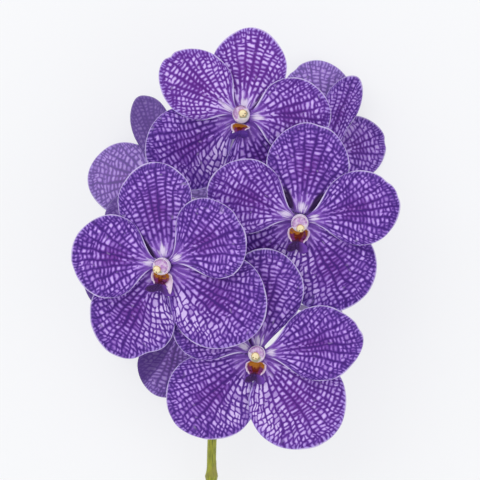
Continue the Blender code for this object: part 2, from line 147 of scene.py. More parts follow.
FLOWERS = (
    Flower("top", (1.1, 66.9, 74.0), 8.0, 0.0, (
        sepal("dorsal_sepal", 81.6, 48.7, 21.0, 20.5, 20.5, taper=0.05, claws=(SEPAL_CLAW, WIDE_CLAW)),
        petal("petal_left", 144.0, 52.7, 22.0, 18.4, 18.9, notches=((-0.11, 1.2, 0.05),)),
        petal("petal_right", 2.0, 48.5, 20.7, 20.8, 20.0, pitch=2.0, claws=(BROAD_CLAW, PETAL_CLAW)),
        sepal("lateral_sepal_left", 211.4, 59.0, 24.0, 23.8, 23.8, pitch=-11.5, roll=-2.5),
        sepal("lateral_sepal_right", 294.5, 58.0, 23.9, 23.9, 23.9, pitch=-4.5, roll=-2.5),
    ), (-1.0, 4.0), 320.0, Lip(260.0, 0.66, 3.0), 46.0, (0.3, 0.0, 1.0)),
    Flower("right", (32.5, 10.8, 80.0), 8.0, 0.0, (
        sepal("dorsal_sepal", 81.7, 53.0, 23.0, 22.6, 22.6, notches=((-0.06, 0.9, 0.10),)),
        petal("petal_left", 155.6, 53.8, 21.1, 20.6, 20.6),
        petal("petal_right", 12.0, 55.0, 21.4, 20.6, 20.2, notches=((0.3, 0.6, 0.05), (0.05, 0.5, 0.05))),
        sepal("lateral_sepal_left", 225.0, 56.0, 23.8, 23.8, 23.8, pitch=-11.5, roll=-2.5),
        sepal("lateral_sepal_right", 302.5, 56.2, 25.4, 25.6, 25.4, pitch=-4.5, roll=-2.5, taper=0.0),
    ), (-0.4, -1.7), 284.0, Lip(263.0, 1.0, 0.0), -8.0, (0.8, 0.0, 0.6)),
    Flower("left", (-40.4, -13.5, 90.0), 2.0, -8.0, (
        sepal("dorsal_sepal", 99.6, 56.0, 20.5, 20.8, 20.2, claws=(WIDE_CLAW, WIDE_CLAW)),
        petal("petal_left", 171.0, 51.0, 20.7, 22.6, 22.6),
        petal("petal_right", 30.3, 48.2, 18.3, 22.6, 23.1, notches=((0.0, 0.8, 0.08),)),
        sepal("lateral_sepal_left", 236.0, 58.5, 24.2, 24.2, 24.4, pitch=-11.5, roll=-2.5,
              notches=((0.45, 2.4, 0.14),)),
        sepal("lateral_sepal_right", 326.3, 61.3, 26.4, 26.2, 26.4, pitch=-4.5, roll=-2.5,
              claws=(SEPAL_CLAW, SEPAL_CLAW)),
    ), (-1.8, -0.8), 228.0, Lip(259.0, 0.86, 0.0), -30.0, (-0.6, 0.0, 0.8)),
    Flower("lower", (9.2, -61.9, 78.0), 8.0, 0.0, (
        sepal("dorsal_sepal", 83.9, 57.5, 22.0, 21.7, 21.7, pitch=-4.5, claws=(SEPAL_CLAW, OPEN_CLAW)),
        petal("petal_left", 146.9, 52.4, 20.6, 20.6, 20.6, pitch=0.0),
        petal("petal_right", 10.5, 58.4, 22.8, 21.0, 20.4, taper=0.06, notches=((0.12, 0.7, 0.06),)),
        sepal("lateral_sepal_left", 225.0, 61.0, 25.4, 25.0, 25.0, pitch=-11.5, roll=-2.5),
        sepal("lateral_sepal_right", 309.2, 62.8, 27.3, 27.1, 27.0, pitch=-4.5, roll=-2.5),
    ), (-0.3, 2.1), 248.0, Lip(264.0, 0.88, 0.0), -82.0, (0.5, 0.0, 0.8)),
    Flower("back_left", (-42.4, 35.1, 17.0), 0.0, 180.0, (
        sepal("dorsal_sepal", 74.5, 49.6, 18.0, 11.5, 10.8, pitch=8.0, roll=16.0, notches=((0.1, 1.2, 0.2),)),
        petal("petal_left", 150.0, 46.0, 20.0, 19.0, 19.0, pitch=25.0),
        petal("petal_right", 359.0, 44.7, 21.2, 20.9, 20.9, pitch=25.0),
        sepal("lateral_sepal_left", 235.0, 50.0, 20.0, 20.0, 20.0, pitch=18.0,
              claws=(NARROW_CLAW, NARROW_CLAW)),
        sepal("lateral_sepal_right", 300.0, 50.0, 20.0, 20.0, 20.0, pitch=7.0),
    ), (0.0, -2.5), 267.0, Lip(267.0, 1.0, 17.0), 18.0, (-1.0, 0.0, -0.1)),
    Flower("back_right", (46.4, 46.4, 17.0), 0.0, 180.0, (
        sepal("dorsal_sepal", 113.0, 50.2, 17.0, 8.6, 11.6, pitch=3.0, roll=-8.0),
        petal("petal_left", 161.0, 38.5, 18.1, 18.1, 18.1, pitch=29.0, notches=((0.08, 0.9, 0.06),),
              claws=(NARROW_CLAW, NARROW_CLAW)),
        petal("petal_right", 85.5, 56.0, 19.8, 20.1, 20.1, pitch=10.0, notches=((-0.3, 0.8, 0.06),)),
        sepal("lateral_sepal_left", 272.0, 50.0, 20.0, 20.0, 20.0, pitch=12.0),
        sepal("lateral_sepal_right", 0.0, 48.0, 20.0, 20.0, 20.0, pitch=14.0),
    ), (1.5, -2.0), 316.0, Lip(316.0, 1.0, 17.0), 32.0, (1.0, 0.0, 0.0)),
    Flower("back_low", (-31.1, -42.4, 17.0), 0.0, 180.0, (
        sepal("dorsal_sepal", 130.0, 50.0, 20.0, 20.0, 20.0, pitch=5.0),
        petal("petal_left", 215.0, 50.0, 20.0, 20.0, 20.0, pitch=24.0),
        petal("petal_right", 25.0, 63.0, 18.0, 17.5, 17.5, pitch=20.0),
        sepal("lateral_sepal_left", 288.0, 48.5, 17.5, 17.5, 17.5, pitch=4.0),
        sepal("lateral_sepal_right", 343.0, 42.0, 17.0, 17.0, 17.0, pitch=19.0,
              claws=(NARROW_CLAW, NARROW_CLAW)),
    ), (1.5, -1.5), 303.0, Lip(303.0, 1.0, 20.0), -48.0, (-1.0, 0.0, -0.3)),
)

BARE_STALK_ROOT = -30.0
BARE_STALK_BRANCH = (1.0, 0.0, 0.1)
BARE_STALK_END = (56.2, -40.8, 55.0)
BARE_STALK_HEADING = (1.0, -0.1, 0.1)
BARE_STALK_SWELL = 0.55

# Finer form of the sheets
FRONT_GRID = (68, 44)    # facets across and along a sepal or petal of a flower that faces up
BACK_GRID = (48, 30)     # the same for a flower that faces down
MARGIN_BUNCHING = 1.35   # how much closer the rows lie towards the margin
RIM_THICKNESS = 0.45     # thickness at the margin, as a share of the middle's
RIM_TAPER = 2.2          # how far in from the margin the sheet gets thinner
GROOVE_DEPTH = 0.45      # fold along the midline
GROOVE_HALF = 1.3
RUFFLE = 0.45            # height of the short waves close to the margin
# Each of these waves: half-waves on one side, how much the piece's direction shifts it, share of the height
RUFFLE_WAVES = ((6.3, 2.0, 1.0), (11.0, -1.0, 0.6))
FLOOR_GAP = 0.05
PROBE = 0.01             # step in t or s over which distances on a sheet are measured

# Net of veins: strips between the main veins, and the rungs that cross them
STRIPS = 11
BASE_RUNG = 4.8          # distance between rungs near the claw
HEAD_RUNG = 2.2          # and out on the head
RUNG_STEPS = 24          # steps in which the rungs up to a point are added up
RUNG_TILT = 0.7          # how much rungs slant across their strip
RUNG_JITTER = 0.68       # how unevenly they are spaced
STRIP_SHIFT = 17.31      # offset of the rungs from one strip to the next
PIECE_SHIFT = (64.0, 37.7)   # offset of the net from one piece to the next, whole strips across
INNER_SIDES = {"lateral_sepal_left": 1.0, "lateral_sepal_right": -1.0}   # sides on which these two meet
INNER_CROWDING = 0.1     # how much wider the strips get towards the inner side of a lateral sepal
INNER_RUNG_STRETCH = 0.32    # how much further apart its rungs are there
ABSENT = -1.2            # half-width of a vein or rung that isn't there, low enough to leave no trace
VEIN_BLEND = 0.4         # how widely veins run together
RUNG_BLEND = 1.1         # how widely rungs run into veins
FORK = (6.4, 7.0)        # widths of the strip between which its rungs become those of two strips
FORKED_STRETCH = 1.15    # how much further apart those are
# Orders of veins: how many to a strip, widths of the strip where they fade in and are full, and thickness
VEIN_ORDERS = (
    (0.25, -1.0, 0.0, 1.0),
    (0.5, 0.7, 1.2, 1.0),
    (1.0, 1.5, 2.4, 1.0),
    (2.0, 5.9, 6.7, 0.72),
    (4.0, 8.6, 9.8, 0.55),
)

# Sizes of the patterns in the materials
WANDER = 9.0             # of the bends of veins and rungs
BEND = (0.8, 1.3, 0.0)   # how far these reach, in strips and in rungs
PATCH = 14.0             # of the patches where the net is heavier or lighter
RIPPLE = 2.2             # of the ripple of its edges
BLOTCH = 2.0             # of the blotches in the lip
WART = 0.7               # of the warts on its front lobe
BLUSH_PATCH = 1.4        # of the patches in the column's hollow
SAGE_PATCH = 3.0         # of the patches on its collar
STALK_PATCH = 6.0        # of the patches that are greener on a stalk
FIBRE_SCALE = 4.5        # of the stem's streaks, about 0.6 mm apart, where the stem's radius counts as 1
FIBRE_STRETCH = 0.04     # what a millimetre along the stem counts there, so that a streak is about 6 mm long
STALK_RIBS = 6

# Whitish patch on the claw: middle and spread along it and half-width across it, from the claw's start
WHITE_PATCH = (4.4, 3.0, 2.3)
DORSAL_WHITE_PATCH = (3.6, 3.4, 3.0)
FRESH_PATCH_GROWTH = (1.6, 2.2)  # how much further out and how much longer it is on a fresh one
LATERAL_WHITE = 0.3      # how much of it a lateral sepal has
# Other marks, by their distance from the claw's start
PETAL_RIM_START = (3.0, 7.0)     # where a petal's pale rim fades in and is full
SEPAL_RIM_START = (11.0, 17.0)   # where a sepal's does
ROLLED_RIM = (11.0, 7.0)         # middle and spread of the rolled margin beside a petal's claw
PAINTED_CLAW_SHADE_PLACE = (9.5, 8.0)         # middle and spread of the deep purple painted shade beside a sepal's claw
HEART_SPREAD = (0.42, 0.24)      # of the warmer middle of a piece, as shares across and along it

# How washed-out the back of a piece is, and how much painted shade darkens the whole piece, lying in shadow
FRONT_LOOK = (0.6, 0.0)
HIDDEN_LOOK = (0.35, 0.55)
BACK_LOOKS = {
    "back_left_petal_right": (0.32, 0.0),
    "back_left_lateral_sepal_left": (0.5, 0.0),
    "back_left_dorsal_sepal": (0.4, 0.55),
    "back_right_petal_right": (0.3, 0.06),
    "back_right_dorsal_sepal": (0.0, 0.14),
    "back_right_petal_left": (0.0, 0.2),
    "back_low_lateral_sepal_left": (0.22, 0.85),
    "back_low_petal_right": (0.3, 0.75),
    "back_low_lateral_sepal_right": (0.5, 0.5),
}
# Where a side in painted shade starts and is full, from -1 to 1 across the piece, and how dark the rest is
DARK_SIDES = {"back_low_lateral_sepal_left": (0.24, 0.36)}
DARK_THROUGHOUT = (-3.0, -2.0)
DARK_REST = 0.15

# How dark the painted shade is on the left and right sides of a sepal's claw, where the petals shade them
PAINTED_CLAW_SHADES = {"top_dorsal_sepal": (0.6, 0.7), "right_dorsal_sepal": (0.9, 1.0),
           "left_dorsal_sepal": (1.0, 0.5), "lower_dorsal_sepal": (1.0, 0.3)}

# Lateral sepals whose net stays dense on the inner side
CLOSED_SIDES = {"top_lateral_sepal_right"}

# Freshly opened ones, lighter and redder
FRESH_LOOKS = {"top_dorsal_sepal": 1.0, "top_petal_left": 1.0, "top_petal_right": 0.4,
               "right_petal_left": 0.3, "lower_lateral_sepal_right": 0.5}

# Lip, finer
LIP_GRID = (56, 56)
# Place along it, half-width, how far its sides stand up, height of its middle, and power of the sides' rise
LIP_PROFILE = (
    (0.00, 4.2, 2.2, 0.0, 1.8),
    (0.10, 5.7, 3.6, -0.7, 2.6),
    (0.24, 5.8, 4.2, -0.9, 3.2),
    (0.40, 5.1, 3.4, -0.4, 3.0),
    (0.50, 4.0, 1.8, 0.7, 1.8),
    (0.56, 3.6, 0.9, 1.3, 1.5),
    (0.72, 5.6, -0.1, 1.6, 1.5),
    (0.88, 6.2, -0.8, 1.1, 1.5),
    (1.00, 4.6, -1.2, 0.4, 1.5),
)
LIP_NOTCH = 2.1
LIP_NOTCH_SPREAD = 0.3
LIP_KEEL = 0.5
LIP_KEELS = ((0.0, 0.09), (0.42, 0.1))   # distance of a keel from the midline, and its spread
WIDE_LOBES = {"left": 1.45}      # front lobes that are wider than the profile says
FLARED_LOBES = {"left": 1.6}     # how far the right side lobe stands out
FLARE = (0.38, 0.17)             # where along the lip it does so, and its spread
LOBE_POINT = (5.0, 1.2)          # how far such a lobe's point reaches along and across the lip
LOBE_POINT_PLACE = (0.47, 0.055)
# A lip drawn in towards the column: how far, and how much more on its left
TUCKED_LIPS = {"top": (1.4, 1.2)}

# Column and anther cap, finer
COLUMN_GRID = (72, 48)
HOOD_PLACE = (0.93, 0.06)    # how far out the hood's ridge is and its spread, as shares of the radius
HOOD_RISE = 0.9
HOLLOW_DEPTH = 1.3
CAP_OFFSET = 0.36        # how far from the column's middle to its rim the cap sits
COLLAR = (2.75, 0.45)    # distance of the collar from the cap's middle, and its spread
COLLAR_EDGE = (3.4, 2.9)     # how far from there its colour ends and is full
COLLAR_RISE = 0.5
CAP_GRID = (48, 30)
FINE_CAP_RADIUS = 2.15
FINE_CAP_HALF = 1.3
CAP_SINK = 0.3           # how far the cap's middle lies under the column's top
CAP_RIDGE = (0.3, 0.15)  # height of its ridge, and the spread as a share of the cap's radius
PIT_PLACE = (0.38, 0.5)  # how far aside and down the cap the pits are, as shares of its radius
PIT_SPREAD = 0.2         # the same for their spread
PIT_DEPTH = 0.3

# Stalks and stem, finer
STALK_SIDES = 36
STALK_STEPS = 40
BARE_STALK_STEPS = 36
STALK_SHARP_ANGLE = 50.0
RIB_HEIGHT = 0.09        # as a share of the radius
# Receptacle, flaring under the claws of the sepals: place behind the flower's face, and radius
RECEPTACLE = ((-3.1, 2.55), (-2.2, 3.1), (-1.8, 3.7), (-1.5, 4.7), (-1.3, 5.7), (-1.15, 5.9), (-1.05, 5.6),
              (-1.0, 3.6), (-0.9, AXIS_RADIUS), (0.9, AXIS_RADIUS))
VIOLET_RINGS = 5         # how many of its last rings have its violet, painted shade among the claws
STEM_SIDES = 40
FINE_STEM_STEP = 1.2
STEM_SHARP_ANGLE = 60.0
SHEATH_LENGTH = 9.0      # on its long side
SHEATH_RISE = 0.22
SHEATH_UNEVENNESS = 0.45     # half the difference between its long and short side, as a share of it
SHEATH_TURN = 2.3        # from one joint's sheath to the next one's, in radians
CUT_REACH = 0.05         # how near to the stem's end a point counts as on its cut face

# Stage: scale, heights and sensor in millimetres, reach of the view, floor and lights in metres
PHOTO_PIXELS = 480
PIXEL = 0.54             # size of a pixel at the blooms
BLOOM_HEIGHT = 85.0
CAMERA_HEIGHT = 1550.0
SENSOR = 36.0
CLIP_END = 10.0
FLOOR_HALF = 3.0
SHEET_GLOW = (0.98, 0.985, 1.0, 1.0)
WHITE = (1.0, 1.0, 1.0, 1.0)
# Soft lights: place from the middle of the blooms, and size
KEY_LIGHT = ((-0.7, 0.9, 1.3), 1.6)
FILL_LIGHT = ((0.9, -0.5, 1.0), 1.2)

# Kinds of nodes and their usual settings
MATH, VECTOR, RANGE, MIX = "ShaderNodeMath", "ShaderNodeVectorMath", "ShaderNodeMapRange", "ShaderNodeMix"
NOISE, DICE, ATTRIBUTE = "ShaderNodeTexNoise", "ShaderNodeTexWhiteNoise", "ShaderNodeAttribute"
BUMP, SEPARATE = "ShaderNodeBump", "ShaderNodeSeparateColor"
TIMES, TIMES_PLUS = {"operation": "MULTIPLY"}, {"operation": "MULTIPLY_ADD"}
PLUS, MINUS, LARGER = {"operation": "ADD"}, {"operation": "SUBTRACT"}, {"operation": "MAXIMUM"}
SMOOTH = {"interpolation_type": "SMOOTHSTEP"}
COLOURS = {"data_type": "RGBA", "output": 2}     # a Mix node that mixes its inputs 6 and 7 by input 0


def linear(hex_colour):
    """Linear RGBA of an sRGB hex colour."""
    values = [int(hex_colour[i:i + 2], 16) / 255.0 for i in (1, 3, 5)]
    return tuple(v / 12.92 if v <= 0.04045 else ((v + 0.055) / 1.055) ** 2.4 for v in values) + (1.0,)


def colour_property(name, description, hex_colour):
    return FloatVectorProperty(name=name, description=description, default=linear(hex_colour), size=4,
                               min=0.0, max=1.0, subtype="COLOR")


class TissueSettings(bpy.types.PropertyGroup):
    """Sizes and colours of the sepals and petals."""
    sheet: FloatProperty(name="Thickness", description="Thickness of a sepal or petal at its middle",
                         default=0.8 * MM, precision=5, unit="LENGTH")
    strips: IntProperty(name="Strips", description="Strips between main veins across a sepal or petal",
                        default=STRIPS, min=3, max=40)
    vein_half: FloatProperty(name="Vein half-width", description="Half the width of a dark main vein",
                             default=0.46 * MM, precision=5, unit="LENGTH")
    rung_half: FloatProperty(name="Rung half-width", description="Half the width of a rung between veins",
                             default=0.345 * MM, precision=5, unit="LENGTH")
    vein: colour_property("Vein", "Dark violet of the net", "#573293")
    vein_deep: colour_property("Deep vein", "Darkest violet, along the middle of a thick vein", "#441F7A")
    vein_heart: colour_property("Vein at the heart", "Warmer violet of the net in mid-petal", "#64298B")
    vein_margin: colour_property("Vein at the margin", "Bluer violet of the net near the margin", "#4F348C")
    violet: colour_property("Violet", "Violet between vein and cell", "#8353B8")
    vein_fresh: colour_property("Fresh vein", "Redder, lighter net of a freshly opened flower", "#8134A6")
    cell: colour_property("Cell", "Pale lavender between the veins", "#BA93EC")
    cell_pale: colour_property("Pale cell", "Palest lavender between the veins", "#D9C3F5")
    cell_margin: colour_property("Cell at the margin", "Bluer lavender close to the margin", "#AC94E2")
    claw: colour_property("Claw", "Whitish base of a petal", "#DDD0EC")
    # Partly painted highlight: the margin's pale line where its edge catches the light
    rim: colour_property("Rim", "Pale line along the margin", "#D3C4F0")
    # Painted shade: deep violet over the pieces of the back flowers that lie in shadow
    dusk: colour_property("Dusk", "Deep violet of the darkest sepals and petals", "#50327F")
    # Painted shade: deep purple on the sides of a sepal's claw, where the petals over it shade it
    flush: colour_property("Flush", "Deep purple sides of a sepal's claw", "#200A34")
    back: colour_property("Back", "Washed-out back of a sepal or petal", "#A28FC9")


class LipSettings(bpy.types.PropertyGroup):
    """Colours of the lip."""
    midlobe: colour_property("Midlobe", "Dark violet front of the lip", "#35154F")
    # Painted shade: the front lobe's left side stays darker; this lighter violet is on its right side and
    # margin
    midlobe_edge: colour_property("Midlobe edge", "Lighter violet side of the front", "#7A46BA")
    midlobe_soft: colour_property("Soft midlobe", "Violet front of a lip drawn in", "#512B8C")
    throat: colour_property("Throat", "Ochre inside of the lip", "#B87222")
    throat_dark: colour_property("Deep throat", "Red-brown blotches of the lip", "#6A180C")
    throat_side: colour_property("Throat side", "Purple patch beside the throat", "#783076")
    heel: colour_property("Heel", "Dark maroon where the front lobe starts", "#4A1034")
    side_lobe: colour_property("Side lobe", "Pinkish white side lobes", "#E2CBE4")


class ColumnSettings(bpy.types.PropertyGroup):
    """Colours of the column and its anther cap."""
    column: colour_property("Column", "Pinkish white of the column", "#E2D3E6")
    blush: colour_property("Blush", "Mauve patch under the hood", "#B684C6")
    cap: colour_property("Anther cap", "Cream yellow of the anther cap", "#F2E2B4")
    collar: colour_property("Collar", "Pale ring round the anther cap", "#E4DCDD")
    sage: colour_property("Sage", "Greenish grey patches of that ring", "#A5A68A")
    cap_edge: colour_property("Cap edge", "Ochre edge of the anther cap", "#C9A070")
    # Darker colour in the two pits of the anther cap
    pit: colour_property("Pollen pits", "Dark spots on the anther cap", "#4A2C34")


class StemSettings(bpy.types.PropertyGroup):
    """Colours of the stem and stalks."""
    stem: colour_property("Stem", "Olive green of the stem", "#A0A326")
    stem_dark: colour_property("Stem streaks", "Darker green streaks along the stem", "#5F6A12")
    sheath: colour_property("Sheath", "Dry brownish edge of the sheath at a joint", "#857B3A")
    cut: colour_property("Cut face", "Pale green of the cut end", "#C9D39A")
    stalk: colour_property("Stalk", "Pale lilac of the flower stalks", "#CDC3DA")
    stalk_green: colour_property("Stalk base", "Greenish base of the flower stalks", "#A7AF86")
    # Painted shade: the stalk's end is violet so that it reads dark where it shows between the claws
    receptacle: colour_property("Receptacle", "Violet of the stalk's end among the claws", "#7350A2")


class StageSettings(bpy.types.PropertyGroup):
    """Backdrop, lights and camera."""
    floor: colour_property("Floor", "White of the backlit sheet", "#8A8B8D")
    glow: FloatProperty(name="Floor glow", description="Light that comes up through the sheet", default=0.68)
    key_power: FloatProperty(name="Key light", description="Power of the large soft light", default=9.0,
                             unit="POWER")
    fill_power: FloatProperty(name="Fill light", description="Power of the soft light opposite", default=2.0,
                              unit="POWER")
    sky_strength: FloatProperty(name="Surround", description="Brightness of the white surround", default=0.82)
    camera_height: FloatProperty(name="Camera height", description="Height of the camera over the surface",
                                 default=CAMERA_HEIGHT * MM, unit="LENGTH")


def smoothstep(low, high, value):
    share = min(1.0, max(0.0, (value - low) / (high - low)))
    return share * share * (3.0 - 2.0 * share)


def bump(value, middle, spread):
    return math.exp(-((value - middle) / spread) ** 2)


def flower_matrix(flower):
    """Place of a flower: its own +Z points out of its face, its own +Y up its dorsal sepal."""
    turn = Matrix.Rotation(math.radians(flower.nod), 4, "X")
    turn = turn @ Matrix.Rotation(math.radians(flower.lean), 4, "Y")
    return Matrix.Translation(Vector(flower.hub) - FOOTPRINT_MIDDLE) @ turn


def hermite(start, leave, end, arrive, s):
    """Point at s on the curve that leaves start along one vector and reaches end along another."""
    return ((2 * s**3 - 3 * s**2 + 1) * start + (s**3 - 2 * s**2 + s) * leave
            + (3 * s**2 - 2 * s**3) * end + (s**3 - s**2) * arrive)


def heading(angle, size):
    return size * Vector((math.cos(angle), math.sin(angle)))


def vein_point(tepal, t, s):
    """Point in the flower's face plane: s runs out along a vein, t from -1 to 1 across the veins."""
    phi = math.radians(HEAD_ARC) * t
    side = tepal.left if t > 0 else tepal.right
    dip = sum(depth * bump(t, place, spread) for place, depth, spread in tepal.notches)
    middle = Vector((tepal.length - tepal.head, 0.0))
    shoulder = 1.0 - tepal.taper * math.sin(2.0 * phi) ** 2 if abs(phi) < math.pi / 2.0 else 1.0
    rim = Vector(((tepal.head - dip) * math.cos(phi), (side - dip) * math.sin(phi))) * shoulder
    half, spread = tepal.claws[0 if t > 0.0 else 1]
    start = Vector((CLAW_START, half * t))
    end = middle + rim
    chord = (end - start).length
    last = math.radians(HEAD_ARC)
    edge_turn = math.atan2(-side * math.cos(last), tepal.head * math.sin(last))
    arrive = edge_turn * t + math.radians(VEIN_FAN) * math.sin(math.pi * t)
    return hermite(start, heading(math.radians(spread) * t, chord), end, heading(arrive, chord), s)


def turned(direction, along, across, height):
    """Point that far along and across a direction in the flower's face plane, at a height over it."""
    turn = math.radians(direction)
    return Vector((along * math.cos(turn) - across * math.sin(turn),
                   along * math.sin(turn) + across * math.cos(turn), height))


def tepal_height(tepal, level, flat, t, s):
    """Height of a sepal or petal over the face plane, with its fold along the midline and ruffled margin."""
    out = (flat.x - CLAW_START) / (tepal.length - CLAW_START)
    phase = math.radians(tepal.direction)
    height = (level
              + (flat.x - CLAW_START) * math.tan(math.radians(tepal.pitch))
              + flat.y * math.tan(math.radians(tepal.roll)) * out
              - tepal.curl * out**2
              + tepal.wave * s**3 * math.sin(MARGIN_WAVES * math.pi * t + phase))
    groove = GROOVE_DEPTH * bump(flat.y, 0.0, GROOVE_HALF)
    groove *= smoothstep(0.05, 0.3, s) * smoothstep(1.0, 0.6, s)
    ruffle = sum(share * math.sin(half_waves * math.pi * t + shift * phase)
                 for half_waves, shift, share in RUFFLE_WAVES)
    return height - groove + RUFFLE * s**6 * ruffle


def tepal_point(tepal, level, t, s):
    flat = vein_point(tepal, t, s)
    return turned(tepal.direction, flat.x, flat.y, tepal_height(tepal, level, flat, t, s))


def lip_profile(s):
    """Half-width, side height, middle height and side power at s, eased between the rows of LIP_PROFILE."""
    for low, high in zip(LIP_PROFILE, LIP_PROFILE[1:]):
        if s <= high[0]:
            break
    ease = smoothstep(low[0], high[0], s)
    return [a + (b - a) * ease for a, b in zip(low[1:], high[1:])]


def lip_point(flower, t, s):
    """Point of the lip: s runs out along it, t from -1 to 1 across it."""
    half, lift, middle, power = lip_profile(s)
    half *= 1.0 - LIP_WIDTH_SHARE * (1.0 - flower.lip.size)
    half *= 1.0 + (WIDE_LOBES.get(flower.name, 1.0) - 1.0) * smoothstep(0.5, 0.8, s)
    notch = LIP_NOTCH * s**4 * bump(t, 0.0, LIP_NOTCH_SPREAD)
    reach = CLAW_START + LIP_LENGTH * flower.lip.size * s - notch
    rise = (reach - CLAW_START) * math.tan(math.radians(flower.lip.pitch))
    keels = LIP_KEEL * smoothstep(0.46, 0.6, s) * smoothstep(1.0, 0.85, s)
    keels *= sum(bump(abs(t), place, spread) for place, spread in LIP_KEELS)
    height = PETAL_LEVEL + rise + middle + lift * abs(t) ** power + keels
    tuck, slant = TUCKED_LIPS.get(flower.name, (0.0, 0.0))
    reach -= (tuck + slant * t) * smoothstep(0.0, 0.5, s)
    side = half * (t + 0.25 * t * (1.0 - t * t) * smoothstep(0.5, 0.3, s))
    if flower.name in FLARED_LOBES:
        point = bump(s, *LOBE_POINT_PLACE) * smoothstep(0.55, 1.0, t) ** 2
        side += FLARED_LOBES[flower.name] * bump(s, *FLARE) * smoothstep(0.5, 1.0, t)
        side += LOBE_POINT[1] * point
        reach += LOBE_POINT[0] * point
    return turned(flower.lip.direction, reach, side, height)


def finish_mesh(name, bm, sharp_angle=None):
    mesh = bpy.data.meshes.new(name)
    bm.to_mesh(mesh)
    bm.free()
    mesh.shade_smooth()
    if sharp_angle is not None:
        mesh.set_sharp_from_angle(angle=math.radians(sharp_angle))
    return mesh


def add_piece(name, mesh, material, replaced=()):
    """Link a finished piece, set it riding on the body, and let it stand for its solids."""
    piece = bpy.data.objects.new(name, mesh)
    bpy.context.scene.collection.objects.link(piece)
    mesh.materials.append(material)
    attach(piece, BODY)
    if replaced:
        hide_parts(*replaced)
    return piece


def sheet_mesh(name, grid, place, facts, matrix, thickness):
    """A thin closed sheet: a grid placed by place(t, s), doubled, drawn apart and bridged at its border.

    facts(t, s) gives the sheet's UV there and the values of its float attributes.
    """
    bm = bmesh.new()
    bmesh.ops.create_grid(bm, x_segments=grid[0], y_segments=grid[1], size=1.0)
    uv_layer = bm.loops.layers.uv.new("veins")
    layers = {key: bm.verts.layers.float.new(key) for key in facts(0.0, 0.5)[1]}
    under = bm.verts.layers.float.new("under")
    bm.verts.index_update()
    half = thickness / MM / 2.0
    uvs = {}
    for vert in bm.verts:
        t = math.copysign(1.0 - (1.0 - abs(vert.co.x)) ** MARGIN_BUNCHING, vert.co.x)
        s = 1.0 - (1.0 - (vert.co.y + 1.0) / 2.0) ** MARGIN_BUNCHING
        uvs[vert.index], values = facts(t, s)
        for key, value in values.items():
            vert[layers[key]] = value
        vert.co = matrix @ place(t, s)
        vert.co.z = max(vert.co.z, half)
    for face in bm.faces:
        for loop in face.loops:
            loop[uv_layer].uv = uvs[loop.vert.index]
    bm.normal_update()
    outward = matrix.to_3x3().col[2]
    drawn = {}
    for vert in bm.verts:
        normal = vert.normal if vert.normal.dot(outward) > 0.0 else -vert.normal
        rim = min(1.0, vert[layers["rim_mm"]] / RIM_TAPER)
        thinned = RIM_THICKNESS + (1.0 - RIM_THICKNESS) * smoothstep(0.0, 1.0, rim)
        drawn[vert.index] = normal * (half * thinned)
    originals = list(bm.verts)
    twin = bmesh.ops.duplicate(bm, geom=bm.verts[:] + bm.edges[:] + bm.faces[:])["vert_map"]
    for vert in originals:
        shift = drawn[vert.index]
        other = twin[vert]
        vert.co += shift
        other.co -= shift
        other[under] = 1.0
    bmesh.ops.bridge_loops(bm, edges=[e for e in bm.edges if e.is_boundary])
    bmesh.ops.recalc_face_normals(bm, faces=bm.faces[:])
    for vert in bm.verts:
        vert.co.z = max(vert.co.z, FLOOR_GAP)
        vert.co *= MM
    return finish_mesh(name, bm)


def rung_pitch(share):
    return BASE_RUNG + (HEAD_RUNG - BASE_RUNG) * smoothstep(0.15, 0.5, share)


def rung_count(far, length):
    """Rungs up to a distance from the claw: far apart near the claw, closer on the head."""
    return sum(far / RUNG_STEPS / rung_pitch(far * (i + 0.5) / RUNG_STEPS / length)
               for i in range(RUNG_STEPS))


